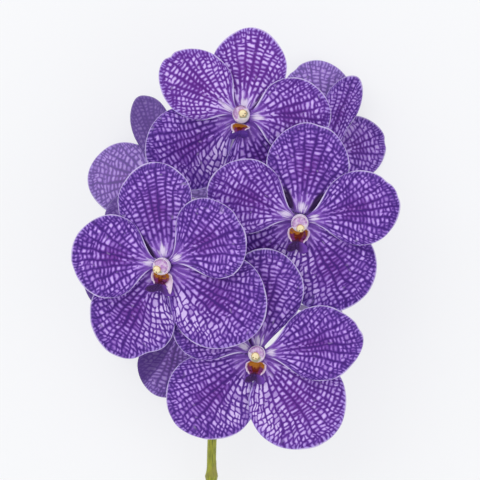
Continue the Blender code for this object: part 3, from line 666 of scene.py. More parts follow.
def tepal_facts(tepal, name, number, strips):
    """Where a point lies on the net, and how the tissue looks there."""
    length = tepal.length - CLAW_START
    is_petal = "petal" in tepal.name
    inner = INNER_SIDES.get(tepal.name, 0.0)
    dark_left, dark_right = PAINTED_CLAW_SHADES.get(name, (0.0, 0.0))
    dark_side = DARK_SIDES.get(name, DARK_THROUGHOUT)
    fresh = FRESH_LOOKS.get(name, 0.0)
    fade, dusk = BACK_LOOKS.get(name, HIDDEN_LOOK) if name.startswith("back") else FRONT_LOOK
    white_middle, white_spread, white_half = WHITE_PATCH
    white_middle += FRESH_PATCH_GROWTH[0] * fresh
    white_spread += FRESH_PATCH_GROWTH[1] * fresh
    if tepal.name == "dorsal_sepal":
        white_middle, white_spread, white_half = DORSAL_WHITE_PATCH

    def facts(t, s):
        here = vein_point(tepal, t, s)
        across = (vein_point(tepal, t + (-PROBE if t > 0.0 else PROBE), s) - here).length / PROBE
        along = (vein_point(tepal, t, s + (-PROBE if s > 0.5 else PROBE)) - here).length / PROBE
        far = here.length - CLAW_START
        crowded = strips / 2.0 * (t - INNER_CROWDING * inner * t * t)
        stretch = 1.0 - INNER_RUNG_STRETCH * smoothstep(0.1, 1.0, t * inner)
        uv = (crowded + number * PIECE_SHIFT[0], rung_count(far, length) * stretch + number * PIECE_SHIFT[1])
        open_side = smoothstep(0.0, 0.7, t * inner) * smoothstep(0.15, 0.35, s) * smoothstep(1.0, 0.75, s)
        white = bump(far, white_middle, white_spread) * bump(here.y, 0.0, white_half)
        flush = dark_left if t > 0.0 else dark_right
        return uv, {
            "strip_mm": across * 2.0 / strips / (1.0 - 2.0 * INNER_CROWDING * inner * t),
            "rung_mm": rung_pitch(far / length) / stretch,
            "rim_mm": min((1.0 - s) * along, (1.0 - abs(t)) * across),
            "claw_mm": far,
            "heart": bump(t, 0.0, HEART_SPREAD[0]) * bump(s, 0.5, HEART_SPREAD[1]),
            "open": 0.0 if name in CLOSED_SIDES else open_side,
            "white": white * (LATERAL_WHITE if inner else 1.0),
            "rimmed": smoothstep(*(PETAL_RIM_START if is_petal else SEPAL_RIM_START), far),
            "rolled": bump(far, *ROLLED_RIM) if is_petal else 0.0,
            # Painted shade on the sides of a sepal's claw, where the petals shade it
            "flush": flush * bump(far, *PAINTED_CLAW_SHADE_PLACE) * smoothstep(0.35, 0.8, abs(t)),
            "fresh": fresh,
            "fade": fade,
            # Painted shade over a piece that lies in shadow
            "dusk": dusk * max(DARK_REST, smoothstep(*dark_side, t)),
        }

    return facts


def feed(tree, node, inputs):
    """Give a node its inputs: each is a plain value, or another node's output, which is linked."""
    for key, value in inputs.items() if isinstance(inputs, dict) else enumerate(inputs):
        if isinstance(value, bpy.types.NodeSocket):
            tree.links.new(value, node.inputs[key])
        else:
            node.inputs[key].default_value = value


def add_node(tree, kind, inputs=(), output=0, **settings):
    """Add a node with its settings and inputs, and give one of its outputs."""
    node = tree.nodes.new(kind)
    for key, value in settings.items():
        setattr(node, key, value)
    feed(tree, node, inputs)
    return node.outputs[output]


def new_material(name):
    """A new material, a function that adds a node to it, and one that gives its shader its inputs."""
    material = bpy.data.materials.new(name)
    material.use_nodes = True
    tree = material.node_tree
    return material, partial(add_node, tree), partial(feed, tree, tree.nodes["Principled BSDF"])


def per(size):
    """Scale of a noise whose features have that size in millimetres."""
    return 1.0 / (size * MM)


def rungs_between(node, across, along, folds, lengthened, rung_mm, half):
    """Rungs of strips, folds to a main strip: distance to the nearest one's edge, and each cell's dice."""
    fine = node(MATH, (across, folds), **TIMES)
    number = node(MATH, (fine,), operation="FLOOR")
    tilt = node(MATH, (node(DICE, {"W": number}, noise_dimensions="1D"), 0.5), **MINUS)
    tilt = node(MATH, (tilt, RUNG_TILT), **TIMES)
    within = node(MATH, (node(MATH, (fine,), operation="FRACT"), 0.5), **MINUS)
    slanted = node(MATH, (tilt, within, node(MATH, (along, lengthened), operation="DIVIDE")), **TIMES_PLUS)
    spot = node(MATH, (number, STRIP_SHIFT, slanted), **TIMES_PLUS)
    rungs = {"W": spot, "Scale": 1.0, "Randomness": RUNG_JITTER}
    edge, cell = (node("ShaderNodeTexVoronoi", rungs, output, voronoi_dimensions="1D", feature=feature)
                  for output, feature in (("Distance", "DISTANCE_TO_EDGE"), ("Color", "F1")))
    edge = node(MATH, (edge, node(MATH, (rung_mm, lengthened), **TIMES)), **TIMES)
    return node(MATH, (edge, half), **MINUS), node(SEPARATE, (cell,))


def tissue_material(name):
    """Living flower tissue, grown: matte, faintly velvety skin, dark veins over pale cells, a paler back."""
    look = bpy.context.scene.orchid_tissue
    material, node, shade = new_material(name)
    uv = node("ShaderNodeUVMap", uv_map="veins")
    place = node("ShaderNodeTexCoord", output="Object")
    strip, rung_mm, rim, claw, heart, open_side, white, rimmed, rolled, flush, fresh, under, fade, dusk = (
        node(ATTRIBUTE, output="Fac", attribute_name=key) for key in
        ("strip_mm", "rung_mm", "rim_mm", "claw_mm", "heart", "open", "white", "rimmed", "rolled", "flush",
         "fresh", "under", "fade", "dusk"))

    # Veins and rungs wander, the net is heavier or lighter in patches, and its edges ripple
    wander = node(NOISE, {"Vector": place, "Scale": per(WANDER), "Detail": 2.0, "Roughness": 0.55}, "Color")
    bent = node(VECTOR, (wander, BEND, uv), **TIMES_PLUS)
    across = node("ShaderNodeSeparateXYZ", (bent,))
    along = across.node.outputs["Y"]
    patch, ripple = (node(NOISE, {"Vector": place, "Scale": per(size), "Detail": 1.0})
                     for size in (PATCH, RIPPLE))
    weight = node(RANGE, (patch, 0.3, 0.7, 0.85, 1.35))
    for share, more in ((heart, 0.4), (open_side, -0.3), (fresh, -0.25), (under, -0.45)):
        weight = node(MATH, (share, more, weight), **TIMES_PLUS)

    # A strip counts as wider close to the margin, and some strips count as wider than others
    dice = node(DICE, {"W": node(MATH, (across,), operation="FLOOR")}, "Color", noise_dimensions="1D")
    closeness = node(RANGE, (rim, 1.5, 8.0, 3.4, 0.0), **SMOOTH)
    grown = node(MATH, (strip, closeness), **PLUS)
    grown = node(MATH, (node(SEPARATE, (dice,), "Blue"), 1.6, grown), **TIMES_PLUS)
    near = None
    for folds, start, full, thickness in VEIN_ORDERS:
        line = node(MATH, (node(MATH, (across, folds), **TIMES), 0.5), operation="PINGPONG")
        width = node(MATH, (strip, folds), operation="DIVIDE")
        line = node(MATH, (line, width), **TIMES)
        half = node(MATH, (weight, look.vein_half / MM * thickness), **TIMES)
        half = node(MATH, (half, node(MATH, (width, 0.2), **TIMES)), operation="MINIMUM")
        half = node(RANGE, (grown if folds > 1.0 else strip, start, full, ABSENT, half), **SMOOTH)
        line = node(MATH, (line, half), **MINUS)
        near = node(MATH, (near, line, VEIN_BLEND), operation="SMOOTH_MIN") if near else line

    # Rungs start beyond the claw, get shorter where a strip forks, and end short of the margin
    forked = node(RANGE, (grown, *FORK), **SMOOTH)
    half = node(MATH, (weight, look.rung_half / MM), **TIMES)
    wide_half = node(RANGE, (forked, 0.45, 1.0, node(RANGE, (claw, 5.0, 12.0, ABSENT, half)), ABSENT))
    fine_half = node(RANGE, (forked, 0.0, 0.55, ABSENT, node(RANGE, (rim, 0.7, 1.8, ABSENT, half))))
    wide_rungs, wide_dice = rungs_between(node, across, along, 1.0, 1.0, rung_mm, wide_half)
    fine_rungs, fine_dice = rungs_between(node, across, along, 2.0, FORKED_STRETCH, rung_mm, fine_half)
    rungs = node(MATH, (wide_rungs, fine_rungs), operation="MINIMUM")
    near = node(MATH, (near, rungs, RUNG_BLEND), operation="SMOOTH_MIN")
    near = node(MATH, (near, node(RANGE, (ripple, 0.25, 0.75, -0.25, 0.25))), **PLUS)
    cells = node(RANGE, (near, -0.3, 0.6), **SMOOTH)

    # Some cells are filled with violet, more so in the heart, on the claw and at the margin
    near_margin = node(RANGE, (rim, 0.8, 5.0, 1.0, 0.0), **SMOOTH)
    on_claw = node(RANGE, (claw, 5.0, 14.0, 1.0, 0.0), **SMOOTH)
    filled = node(RANGE, (node(RANGE, (forked, 0.0, 1.0, wide_dice, fine_dice)), 0.05, 0.6, 0.4, 0.0))
    for share, more in ((heart, 0.22), (on_claw, 0.25), (near_margin, 0.2), (fresh, -0.25), (under, -0.2)):
        filled = node(MATH, (share, more, filled), **TIMES_PLUS)
    filled = node(MATH, (filled, 0.0), **LARGER)
    shown = node(MATH, (cells, node(MATH, (1.0, filled), use_clamp=True, **MINUS)), **TIMES)

    # Colours are laid over one another, each with its share: those of the net, then the marks on it
    vein = look.vein
    for share, over in ((heart, look.vein_heart), (near_margin, look.vein_margin),
                        (node(RANGE, (near, -0.5, -0.1, 1.0, 0.0)), look.vein_deep),
                        (node(MATH, (on_claw, 0.6), **TIMES), look.violet),
                        (node(MATH, (fresh, 0.25), **TIMES), look.vein_fresh)):
        vein = node(MIX, {0: share, 6: vein, 7: over}, **COLOURS)
    pale = node(MATH, (node(RANGE, (near, 0.4, 0.9, 0.0, 0.68), **SMOOTH), open_side), **LARGER)
    pale = node(MATH, (fresh, 0.4, pale), **TIMES_PLUS)
    cell = node(MIX, {0: pale, 6: look.cell, 7: look.cell_pale}, **COLOURS)
    cell = node(MIX, {0: near_margin, 6: cell, 7: look.cell_margin}, **COLOURS)

    # The whitish patch on the claw has ragged ends
    streaks = node(VECTOR, (bent, (1.2, 0.5, 1.0)), **TIMES)
    streak = node(NOISE, {"Vector": streaks, "Scale": 1.0, "Detail": 2.0}, noise_dimensions="2D")
    whitish = node(MATH, (node(RANGE, (streak, 0.2, 0.8, -0.5, 0.5)), white), **PLUS)

    # The rim is pale, wider and stronger in some patches and where it is rolled, partly painted highlight
    rim_end = node(MATH, (rolled, 0.8, node(RANGE, (patch, 0.4, 0.65, 0.55, 1.1), **SMOOTH)), **TIMES_PLUS)
    strength = node(MATH, (rolled, 0.4, node(RANGE, (patch, 0.35, 0.65, 0.5, 0.9))), **TIMES_PLUS)
    pale_rim_and_highlight = node(RANGE, (rim, 0.2, rim_end, 1.0, 0.0), **SMOOTH)
    pale_rim_and_highlight = node(MATH, (pale_rim_and_highlight, strength), use_clamp=True, **TIMES)

    colour = vein
    for share, over in ((node(RANGE, (shown, 0.0, 0.55)), look.violet),
                        (node(RANGE, (shown, 0.4, 1.0)), cell),
                        (node(RANGE, (whitish, 0.3, 0.95), **SMOOTH), look.claw),
                        # Painted shade beside the sepals' claws
                        (node(RANGE, (flush, 0.2, 0.7, 0.0, 0.92), **SMOOTH), look.flush),
                        # Pale rim, partly painted highlight
                        (node(MATH, (pale_rim_and_highlight, rimmed), **TIMES), look.rim),
                        (node(MATH, (under, fade), **TIMES), look.back),
                        # Painted shade over pieces that lie in shadow
                        (dusk, look.dusk)):
        colour = node(MIX, {0: share, 6: colour, 7: over}, **COLOURS)

    # Cells stand a little proud of the veins
    relief = node(BUMP, {"Height": cells, "Distance": 0.12 * MM, "Strength": 0.5})
    shade({"Base Color": colour, "Normal": relief, "Roughness": 0.55, "IOR": 1.4, "Specular IOR Level": 0.2})
    return material


def shared_material(name, make):
    """The material of that name, made on first use."""
    return bpy.data.materials.get(name) or make(name)


def add_tepals(kind):
    look = bpy.context.scene.orchid_tissue
    material = shared_material("Orchid tepal tissue", tissue_material)
    number = 0
    for flower in FLOWERS:
        matrix = flower_matrix(flower)
        faces_up = matrix.to_3x3().col[2].z > 0.0
        for tepal in flower.tepals:
            number += 1
            if kind not in tepal.name:
                continue
            name = f"{flower.name}_{tepal.name}"
            level = PETAL_LEVEL if kind == "petal" else 0.0
            mesh = sheet_mesh(name, FRONT_GRID if faces_up else BACK_GRID, partial(tepal_point, tepal, level),
                              tepal_facts(tepal, name, number, look.strips), matrix, look.sheet)
            add_piece(f"{name}_tissue", mesh, material, (name,))


class ORCHID_OT_sepals(bpy.types.Operator):
    """Model the three sepals of each flower"""
    bl_idname = "orchid.sepals"
    bl_label = "Sepals"

    def execute(self, context):
        add_tepals("sepal")
        return {"FINISHED"}


class ORCHID_OT_petals(bpy.types.Operator):
    """Model the two petals of each flower"""
    bl_idname = "orchid.petals"
    bl_label = "Petals"

    def execute(self, context):
        add_tepals("petal")
        return {"FINISHED"}


def lip_material(name):
    """Thick waxy flower tissue: a dark, slightly glossy front lobe, an ochre throat and pale side lobes."""
    look = bpy.context.scene.orchid_lip
    material, node, shade = new_material(name)
    side = node("ShaderNodeSeparateXYZ", (node("ShaderNodeUVMap", uv_map="veins"),))
    along = side.node.outputs["Y"]
    place = node("ShaderNodeTexCoord", output="Object")
    under, rim, soft = (node(ATTRIBUTE, output="Fac", attribute_name=key)
                        for key in ("under", "rim_mm", "soft"))
    blotch = node(NOISE, {"Vector": place, "Scale": per(BLOTCH), "Detail": 2.0})
    wart = node(NOISE, {"Vector": place, "Scale": per(WART), "Detail": 1.0})
    mottled = node(MATH, (blotch, 0.6, node(MATH, (along, 0.13), **MINUS)), **TIMES_PLUS)
    mottled = node(MATH, (soft, -0.1, mottled), **TIMES_PLUS)
    aside = node(MATH, (side,), operation="ABSOLUTE")

    # Throat: blotches, a purple patch beside it, the heel, and the pale side lobes with the lip's underside
    beside = node(RANGE, (aside, 0.28, 0.5), **SMOOTH)
    beside = node(MATH, (beside, node(RANGE, (mottled, 0.34, 0.48), **SMOOTH)), **TIMES)
    lobe = node(MATH, (node(RANGE, (aside, 0.8, 0.9), **SMOOTH), under), **LARGER)
    lobe = node(MATH, (lobe, node(RANGE, (rim, 0.2, 0.8, 1.0, 0.0), **SMOOTH)), **LARGER)
    throat = look.throat
    for share, over in ((node(RANGE, (mottled, 0.36, 0.5), **SMOOTH), look.throat_dark),
                        (beside, look.throat_side),
                        (node(RANGE, (mottled, 0.62, 0.7), **SMOOTH), look.heel),
                        (lobe, look.side_lobe)):
        throat = node(MIX, {0: share, 6: throat, 7: over}, **COLOURS)

    # Front lobe: lighter on its right side, along its margin and on its warts; its darker left side is
    # painted shade
    unshaded_side_rim_and_warts = node(RANGE, (side, 0.0, 0.9, 0.0, 0.75), **SMOOTH)
    for share in ((rim, 0.1, 1.1, 0.7, 0.0), (wart, 0.5, 0.75, 0.0, 0.3)):
        unshaded_side_rim_and_warts = node(MATH, (unshaded_side_rim_and_warts, node(RANGE, share, **SMOOTH)), **LARGER)
    front = node(MIX, {0: unshaded_side_rim_and_warts, 6: look.midlobe, 7: look.midlobe_edge}, **COLOURS)
    front = node(MIX, {0: node(MATH, (soft, 0.8), **TIMES), 6: front, 7: look.midlobe_soft}, **COLOURS)
    colour = node(MIX, {0: node(RANGE, (along, 0.52, 0.58), **SMOOTH), 6: throat, 7: front}, **COLOURS)
    relief = node(BUMP, {"Height": wart, "Distance": 0.25 * MM, "Strength": 0.5})
    shade({"Base Color": colour, "Normal": relief, "Roughness": 0.5, "IOR": 1.42, "Specular IOR Level": 0.25})
    return material


def lip_facts(flower):
    """Where a point lies on the lip: its place across and along it, and its distance from the margin."""
    soft = 1.0 if flower.name in TUCKED_LIPS else 0.0
    length = LIP_LENGTH * flower.lip.size

    def facts(t, s):
        across = (lip_point(flower, t - math.copysign(PROBE, t), s) - lip_point(flower, t, s)).length / PROBE
        rim = min((1.0 - abs(t)) * across, (1.0 - s) * length)
        if flower.name in FLARED_LOBES and t > 0.0:
            t **= 0.4 + 0.6 * smoothstep(0.48, 0.56, s)      # its side lobe's colours reach further in
        return (t, s), {"rim_mm": rim, "soft": soft}

    return facts


class ORCHID_OT_lips(bpy.types.Operator):
    """Model the lip of each flower, with its side lobes, keels and notched tip"""
    bl_idname = "orchid.lips"
    bl_label = "Lips"

    def execute(self, context):
        look = context.scene.orchid_tissue
        material = shared_material("Waxy lip tissue", lip_material)
        for flower in FLOWERS:
            name = f"{flower.name}_lip"
            mesh = sheet_mesh(name, LIP_GRID, partial(lip_point, flower), lip_facts(flower),
                              flower_matrix(flower), look.sheet)
            add_piece(f"{name}_tissue", mesh, material, (name,))
        return {"FINISHED"}


def column_material(name):
    """Firm waxy flower tissue: smooth and softly glossy, whitish pink with a mauve hollow under its hood."""
    look = bpy.context.scene.orchid_column
    material, node, shade = new_material(name)
    blush, collar = (node(ATTRIBUTE, output="Fac", attribute_name=key) for key in ("blush", "collar"))
    place = node("ShaderNodeTexCoord", output="Object")
    patch = node(NOISE, {"Vector": place, "Scale": per(BLUSH_PATCH), "Detail": 2.0})
    sage = node(NOISE, {"Vector": place, "Scale": per(SAGE_PATCH), "Detail": 0.0})
    tint = node(MATH, (blush, node(RANGE, (patch, 0.35, 0.62, 0.25, 1.0))), **TIMES)
    ring = node(MIX, {0: node(RANGE, (sage, 0.5, 0.62), **SMOOTH), 6: look.collar, 7: look.sage}, **COLOURS)
    colour = node(MIX, {0: tint, 6: look.column, 7: look.blush}, **COLOURS)
    colour = node(MIX, {0: collar, 6: colour, 7: ring}, **COLOURS)
    relief = node(BUMP, {"Height": patch, "Distance": 0.15 * MM, "Strength": 0.3})
    shade({"Base Color": colour, "Normal": relief, "Roughness": 0.38, "Subsurface Weight": 0.15,
           "Subsurface Radius": (1.0, 0.6, 0.8), "Subsurface Scale": 0.8 * MM})
    return material


def cap_material(name):
    """Anther cap: a thin waxy cream hood, ochre at its edge, darker in two pits."""
    look = bpy.context.scene.orchid_column
    material, node, shade = new_material(name)
    pit, skirt = (node(ATTRIBUTE, output="Fac", attribute_name=key) for key in ("pit", "skirt"))
    colour = node(MIX, {0: skirt, 6: look.cap, 7: look.cap_edge}, **COLOURS)
    colour = node(MIX, {0: node(RANGE, (pit, 0.25, 0.8), **SMOOTH), 6: colour, 7: look.pit}, **COLOURS)
    shade({"Base Color": colour, "Roughness": 0.35, "Subsurface Weight": 0.1,
           "Subsurface Radius": (1.0, 0.8, 0.5), "Subsurface Scale": 0.6 * MM})
    return material


def column_mesh(name, flower, matrix):
    """The column: a stout knob, a hood round its far side, a hollow under it and a collar round the cap."""
    bm = bmesh.new()
    bmesh.ops.create_uvsphere(bm, u_segments=COLUMN_GRID[0], v_segments=COLUMN_GRID[1], radius=1.0)
    blush = bm.verts.layers.float.new("blush")
    collar = bm.verts.layers.float.new("collar")
    lean = flower.column_lean
    towards = heading(math.radians(flower.cap_side), 1.0)
    for vert in bm.verts:
        flat = Vector((vert.co.x, vert.co.y))
        ring = flat.length
        rise = (vert.co.z + 1.0) / 2.0
        front = smoothstep(0.5, 0.62, rise)
        behind = CAP_OFFSET - flat.dot(towards)
        beside_cap = smoothstep(0.35, 0.0, behind) * front
        around = (flat - CAP_OFFSET * towards).length * COLUMN_RADIUS
        hood = HOOD_RISE * bump(ring, *HOOD_PLACE) * smoothstep(-0.15, 0.35, behind) * front
        under_hood = smoothstep(0.05, 0.35, behind) * smoothstep(0.95, 0.84, ring) * front
        cuff = COLLAR_RISE * bump(around, *COLLAR) * beside_cap
        wide = COLUMN_RADIUS * ring ** (COLUMN_FULLNESS - 1.0) if ring > 0.01 else COLUMN_RADIUS
        height = COLUMN_BASE + (COLUMN_TOP - COLUMN_BASE) * rise + hood - HOLLOW_DEPTH * under_hood + cuff
        vert[blush] = under_hood
        vert[collar] = smoothstep(*COLLAR_EDGE, around) * beside_cap
        spot = (flat.x * wide + lean[0] * rise, flat.y * wide + lean[1] * rise, height)
        vert.co = matrix @ Vector(spot) * MM
    return finish_mesh(name, bm)


def cap_mesh(name, flower, matrix):
    """The anther cap: a small dome with a ridge down to its beak, and two pits at its lower edge."""
    bm = bmesh.new()
    bmesh.ops.create_uvsphere(bm, u_segments=CAP_GRID[0], v_segments=CAP_GRID[1], radius=1.0)
    pit_layer = bm.verts.layers.float.new("pit")
    skirt_layer = bm.verts.layers.float.new("skirt")
    towards = heading(math.radians(flower.cap_side), 1.0)
    across = Vector((-towards.y, towards.x))
    middle = Vector(flower.column_lean) + CAP_OFFSET * COLUMN_RADIUS * towards
    for vert in bm.verts:
        flat = Vector((vert.co.x, vert.co.y))
        ring = flat.length
        side = flat.dot(across)
        front = smoothstep(-0.1, 0.2, vert.co.z)
        pits = bump(side, PIT_PLACE[0], PIT_SPREAD) + bump(side, -PIT_PLACE[0], PIT_SPREAD)
        pits *= front * bump(flat.dot(towards), PIT_PLACE[1], PIT_SPREAD)
        ridge = CAP_RIDGE[0] * bump(side, 0.0, CAP_RIDGE[1]) * front * smoothstep(0.9, 0.3, ring)
        height = COLUMN_TOP - CAP_SINK + FINE_CAP_HALF * vert.co.z + ridge - PIT_DEPTH * pits
        vert[pit_layer] = pits
        vert[skirt_layer] = smoothstep(0.72, 0.95, ring)
        vert.co = matrix @ Vector((*(flat * FINE_CAP_RADIUS + middle), height)) * MM
    return finish_mesh(name, bm)


class ORCHID_OT_columns(bpy.types.Operator):
    """Model the column and the anther cap of each flower"""
    bl_idname = "orchid.columns"
    bl_label = "Columns"

    def execute(self, context):
        column = shared_material("Waxy column tissue", column_material)
        cap = shared_material("Cream anther cap", cap_material)
        for flower in FLOWERS:
            matrix = flower_matrix(flower)
            name = f"{flower.name}_column"
            add_piece(f"{name}_tissue", column_mesh(name, flower, matrix), column, (name,))
            cap_name = f"{flower.name}_anther_cap"
            add_piece(cap_name, cap_mesh(cap_name, flower, matrix), cap)
        return {"FINISHED"}


def tube_mesh(name, points, radius, sides, sharp_angle):
    """A closed tube through points. radius(i, turn) is its radius at point i, turn radians from its top."""
    bm = bmesh.new()
    bmesh.ops.create_circle(bm, segments=sides, radius=1.0)
    turn_layer = bm.verts.layers.float.new("turn")
    along_layer = bm.verts.layers.float.new("along")
    for vert in bm.verts:
        vert[turn_layer] = math.atan2(vert.co.y, vert.co.x)
    ring = list(bm.verts)
    edges = list(bm.edges)
    travelled = 0.0
    before = (points[1] - points[0]).normalized()
    top = Vector((0.0, 0.0, 1.0)) if abs(before.z) < 0.9 else Vector((0.0, 1.0, 0.0))
    top = (top - top.dot(before) * before).normalized()
    for i, point in enumerate(points):
        after = points[min(i + 1, len(points) - 1)]
        previous = points[max(i - 1, 0)]
        direction = (after - previous).normalized()
        top = before.rotation_difference(direction) @ top
        top = (top - top.dot(direction) * direction).normalized()
        before = direction
        side = direction.cross(top)
        if i > 0:
            grown = bmesh.ops.extrude_edge_only(bm, edges=edges)["geom"]
            ring = [g for g in grown if isinstance(g, bmesh.types.BMVert)]
            new = set(ring)
            edges = [g for g in grown if isinstance(g, bmesh.types.BMEdge) and set(g.verts) <= new]
            travelled += (point - previous).length
        for vert in ring:
            turn = vert[turn_layer]
            size = radius(i, turn)
            vert[along_layer] = travelled
            vert.co = point + (top * math.cos(turn) + side * math.sin(turn)) * size
    bmesh.ops.holes_fill(bm, edges=[e for e in bm.edges if e.is_boundary], sides=0)
    bmesh.ops.recalc_face_normals(bm, faces=bm.faces[:])
    for vert in bm.verts:
        vert.co.z = max(vert.co.z, 0.0)
        vert.co *= MM
    return finish_mesh(name, bm, sharp_angle)


def smooth_route(route, step):
    """Points about a step apart along a smooth curve through route."""
    route = [Vector(p) for p in route]
    ends = [2 * route[0] - route[1]] + route + [2 * route[-1] - route[-2]]
    points = []
    for before, start, end, after in zip(ends, ends[1:], ends[2:], ends[3:]):
        steps = max(2, round((end - start).length / step))
        leave = start + (end - before) / 6.0
        arrive = end - (after - start) / 6.0
        piece = interpolate_bezier(start, leave, arrive, end, steps)
        points += piece[:-1]
    return points + [route[-1]]


def stem_radius(y):
    along = (y - STEM_ROUTE[0][1]) / (STEM_ROUTE[-1][1] - STEM_ROUTE[0][1])
    swell = max(size * bump(y, place, JOINT_REACH) for place, size in STEM_JOINTS)
    return STEM_RADIUS - STEM_THINNING * along + swell


def stem_centre(y):
    points = smooth_route(STEM_ROUTE, STEM_STEP)
    for low, high in zip(points, points[1:]):
        if low.y <= y <= high.y:
            return low.lerp(high, (y - low.y) / (high.y - low.y))
    return points[-1]


def stalk_points(root, branch, end, end_axis, steps):
    """A stalk from the stem's surface at root to end, which it reaches along end_axis."""
    centre = stem_centre(root)
    along = (stem_centre(root + 1.0) - stem_centre(root - 1.0)).normalized()
    outward = Vector(branch)
    outward = (outward - outward.dot(along) * along).normalized()
    start = centre + outward * (stem_radius(root) + STALK_GAP)
    pull = (end - start).length * STALK_PULL
    return interpolate_bezier(start, start + outward * pull, end - end_axis * pull, end, steps)


def stalk_material(name):
    """Fresh flower stalk, grown: smooth and ribbed, lilac white, greener towards the stem."""
    look = bpy.context.scene.orchid_stem
    material, node, shade = new_material(name)
    along, turn, head = (node(ATTRIBUTE, output="Fac", attribute_name=key)
                         for key in ("along", "turn", "head"))
    place = node("ShaderNodeTexCoord", output="Object")
    patch = node(NOISE, {"Vector": place, "Scale": per(STALK_PATCH), "Detail": 2.0})
    ragged = node(MATH, (patch, 8.0, along), **TIMES_PLUS)
    rib = node(MATH, (node(MATH, (turn, STALK_RIBS), **TIMES),), operation="COSINE")
    colour = look.stalk
    for share, over in ((node(RANGE, (ragged, 2.0, 16.0, 1.0, 0.0), **SMOOTH), look.stalk_green),
                        (node(RANGE, (rib, -1.0, 0.2, 0.3, 0.0), **SMOOTH), look.stem_dark),
                        # Painted shade: violet on the stalk's end among the claws
                        (head, look.receptacle)):
        colour = node(MIX, {0: share, 6: colour, 7: over}, **COLOURS)
    shade({"Base Color": colour, "Roughness": 0.45})
    return material


def stem_material(name):
    """Fresh green stem, grown and cut: smooth waxy skin with fine streaks, and dry brownish sheaths."""
    look = bpy.context.scene.orchid_stem
    material, node, shade = new_material(name)
    along, turn, sheath, cut = (node(ATTRIBUTE, output="Fac", attribute_name=key)
                                for key in ("along", "turn", "sheath", "cut"))
    around = node("ShaderNodeCombineXYZ", (node(MATH, (turn,), operation="COSINE"),
                                           node(MATH, (turn,), operation="SINE"),
                                           node(MATH, (along, FIBRE_STRETCH), **TIMES)))
    fibre = node(NOISE, {"Vector": around, "Scale": FIBRE_SCALE, "Detail": 3.0})
    colour = look.stem
    for share, over in ((node(RANGE, (fibre, 0.4, 0.7, 0.0, 0.8), **SMOOTH), look.stem_dark),
                        (node(MATH, (sheath, 0.45), **TIMES), look.sheath),
                        (cut, look.cut)):
        colour = node(MIX, {0: share, 6: colour, 7: over}, **COLOURS)
    relief = node(BUMP, {"Height": fibre, "Distance": 0.15 * MM, "Strength": 0.4})
    shade({"Base Color": colour, "Normal": relief, "Roughness": 0.42,
           "Coat Weight": 0.1, "Coat Roughness": 0.3})
    return material


def shifted(points):
    return [p - FOOTPRINT_MIDDLE for p in points]


class ORCHID_OT_stalks(bpy.types.Operator):
    """Model the ribbed stalk of each flower and the bare stalk"""
    bl_idname = "orchid.stalks"
    bl_label = "Stalks"

    def add_stalk(self, name, points, sizes, violet_rings=0):
        """sizes are its radii at its points. The last violet_rings of them have the receptacle's
        painted-shade violet.
        """
        def radius(i, turn):
            rib = RIB_HEIGHT * math.cos(STALK_RIBS * turn) * smoothstep(0.0, 0.1, i / len(points))
            return sizes[i] * (1.0 + rib)

        mesh = tube_mesh(name, shifted(points), radius, STALK_SIDES, STALK_SHARP_ANGLE)
        head = mesh.attributes.new("head", "FLOAT", "POINT")
        for i in range(STALK_SIDES * (len(points) - violet_rings), STALK_SIDES * len(points)):
            head.data[i].value = 1.0
        material = shared_material("Lilac flower stalk", stalk_material)
        add_piece(f"{name}_skin", mesh, material, (name,))

    def execute(self, context):
        for flower in FLOWERS:
            matrix = Matrix.Translation(FOOTPRINT_MIDDLE) @ flower_matrix(flower)
            axis = matrix.to_3x3().col[2].normalized()
            neck = matrix @ Vector((0.0, 0.0, NECK))
            points = stalk_points(flower.root, flower.branch, neck, axis, STALK_STEPS)
            sizes = [PEDICEL_RADIUS + OVARY_SWELL * (i / STALK_STEPS) ** OVARY_POWER
                     for i in range(STALK_STEPS)]
            points += [matrix @ Vector((0.0, 0.0, depth)) for depth, size in RECEPTACLE]
            sizes += [size for depth, size in RECEPTACLE]
            self.add_stalk(f"{flower.name}_pedicel", points, sizes, VIOLET_RINGS)
        bare = stalk_points(BARE_STALK_ROOT, BARE_STALK_BRANCH, Vector(BARE_STALK_END),
                            Vector(BARE_STALK_HEADING).normalized(), BARE_STALK_STEPS)
        sizes = [PEDICEL_RADIUS + BARE_STALK_SWELL * i / BARE_STALK_STEPS for i in range(BARE_STALK_STEPS)]
        self.add_stalk("bare_stalk", bare, sizes)
        return {"FINISHED"}


class ORCHID_OT_stem(bpy.types.Operator):
    """Model the flower stem, with a sheath at each joint and its cut end"""
    bl_idname = "orchid.stem"
    bl_label = "Stem"

    def execute(self, context):
        points = smooth_route(STEM_ROUTE, FINE_STEM_STEP)

        def sheath(y, turn):
            """How much of a sheath covers the stem there: it wraps up from the joint, longer on one side."""
            cover = 0.0
            for number, (place, size) in enumerate(STEM_JOINTS):
                longer = SHEATH_UNEVENNESS * math.cos(turn + SHEATH_TURN * number)
                top = place + SHEATH_LENGTH * (1.0 - SHEATH_UNEVENNESS + longer)
                cover = max(cover, smoothstep(place - 0.6, place, y) * smoothstep(top + 0.5, top - 0.3, y))
            return cover

        def radius(i, turn):
            return stem_radius(points[i].y) + SHEATH_RISE * sheath(points[i].y, turn)

        mesh = tube_mesh("stem", shifted(points), radius, STEM_SIDES, STEM_SHARP_ANGLE)
        covered = mesh.attributes.new("sheath", "FLOAT", "POINT")
        cut = mesh.attributes.new("cut", "FLOAT", "POINT")
        turns = mesh.attributes["turn"]
        for i, vert in enumerate(mesh.vertices):
            y = vert.co.y / MM + FOOTPRINT_MIDDLE.y
            covered.data[i].value = sheath(y, turns.data[i].value)
            cut.data[i].value = 1.0 if y < STEM_ROUTE[0][1] + CUT_REACH else 0.0
        add_piece("stem_skin", mesh, shared_material("Green stem skin", stem_material), ("stem",))
        return {"FINISHED"}


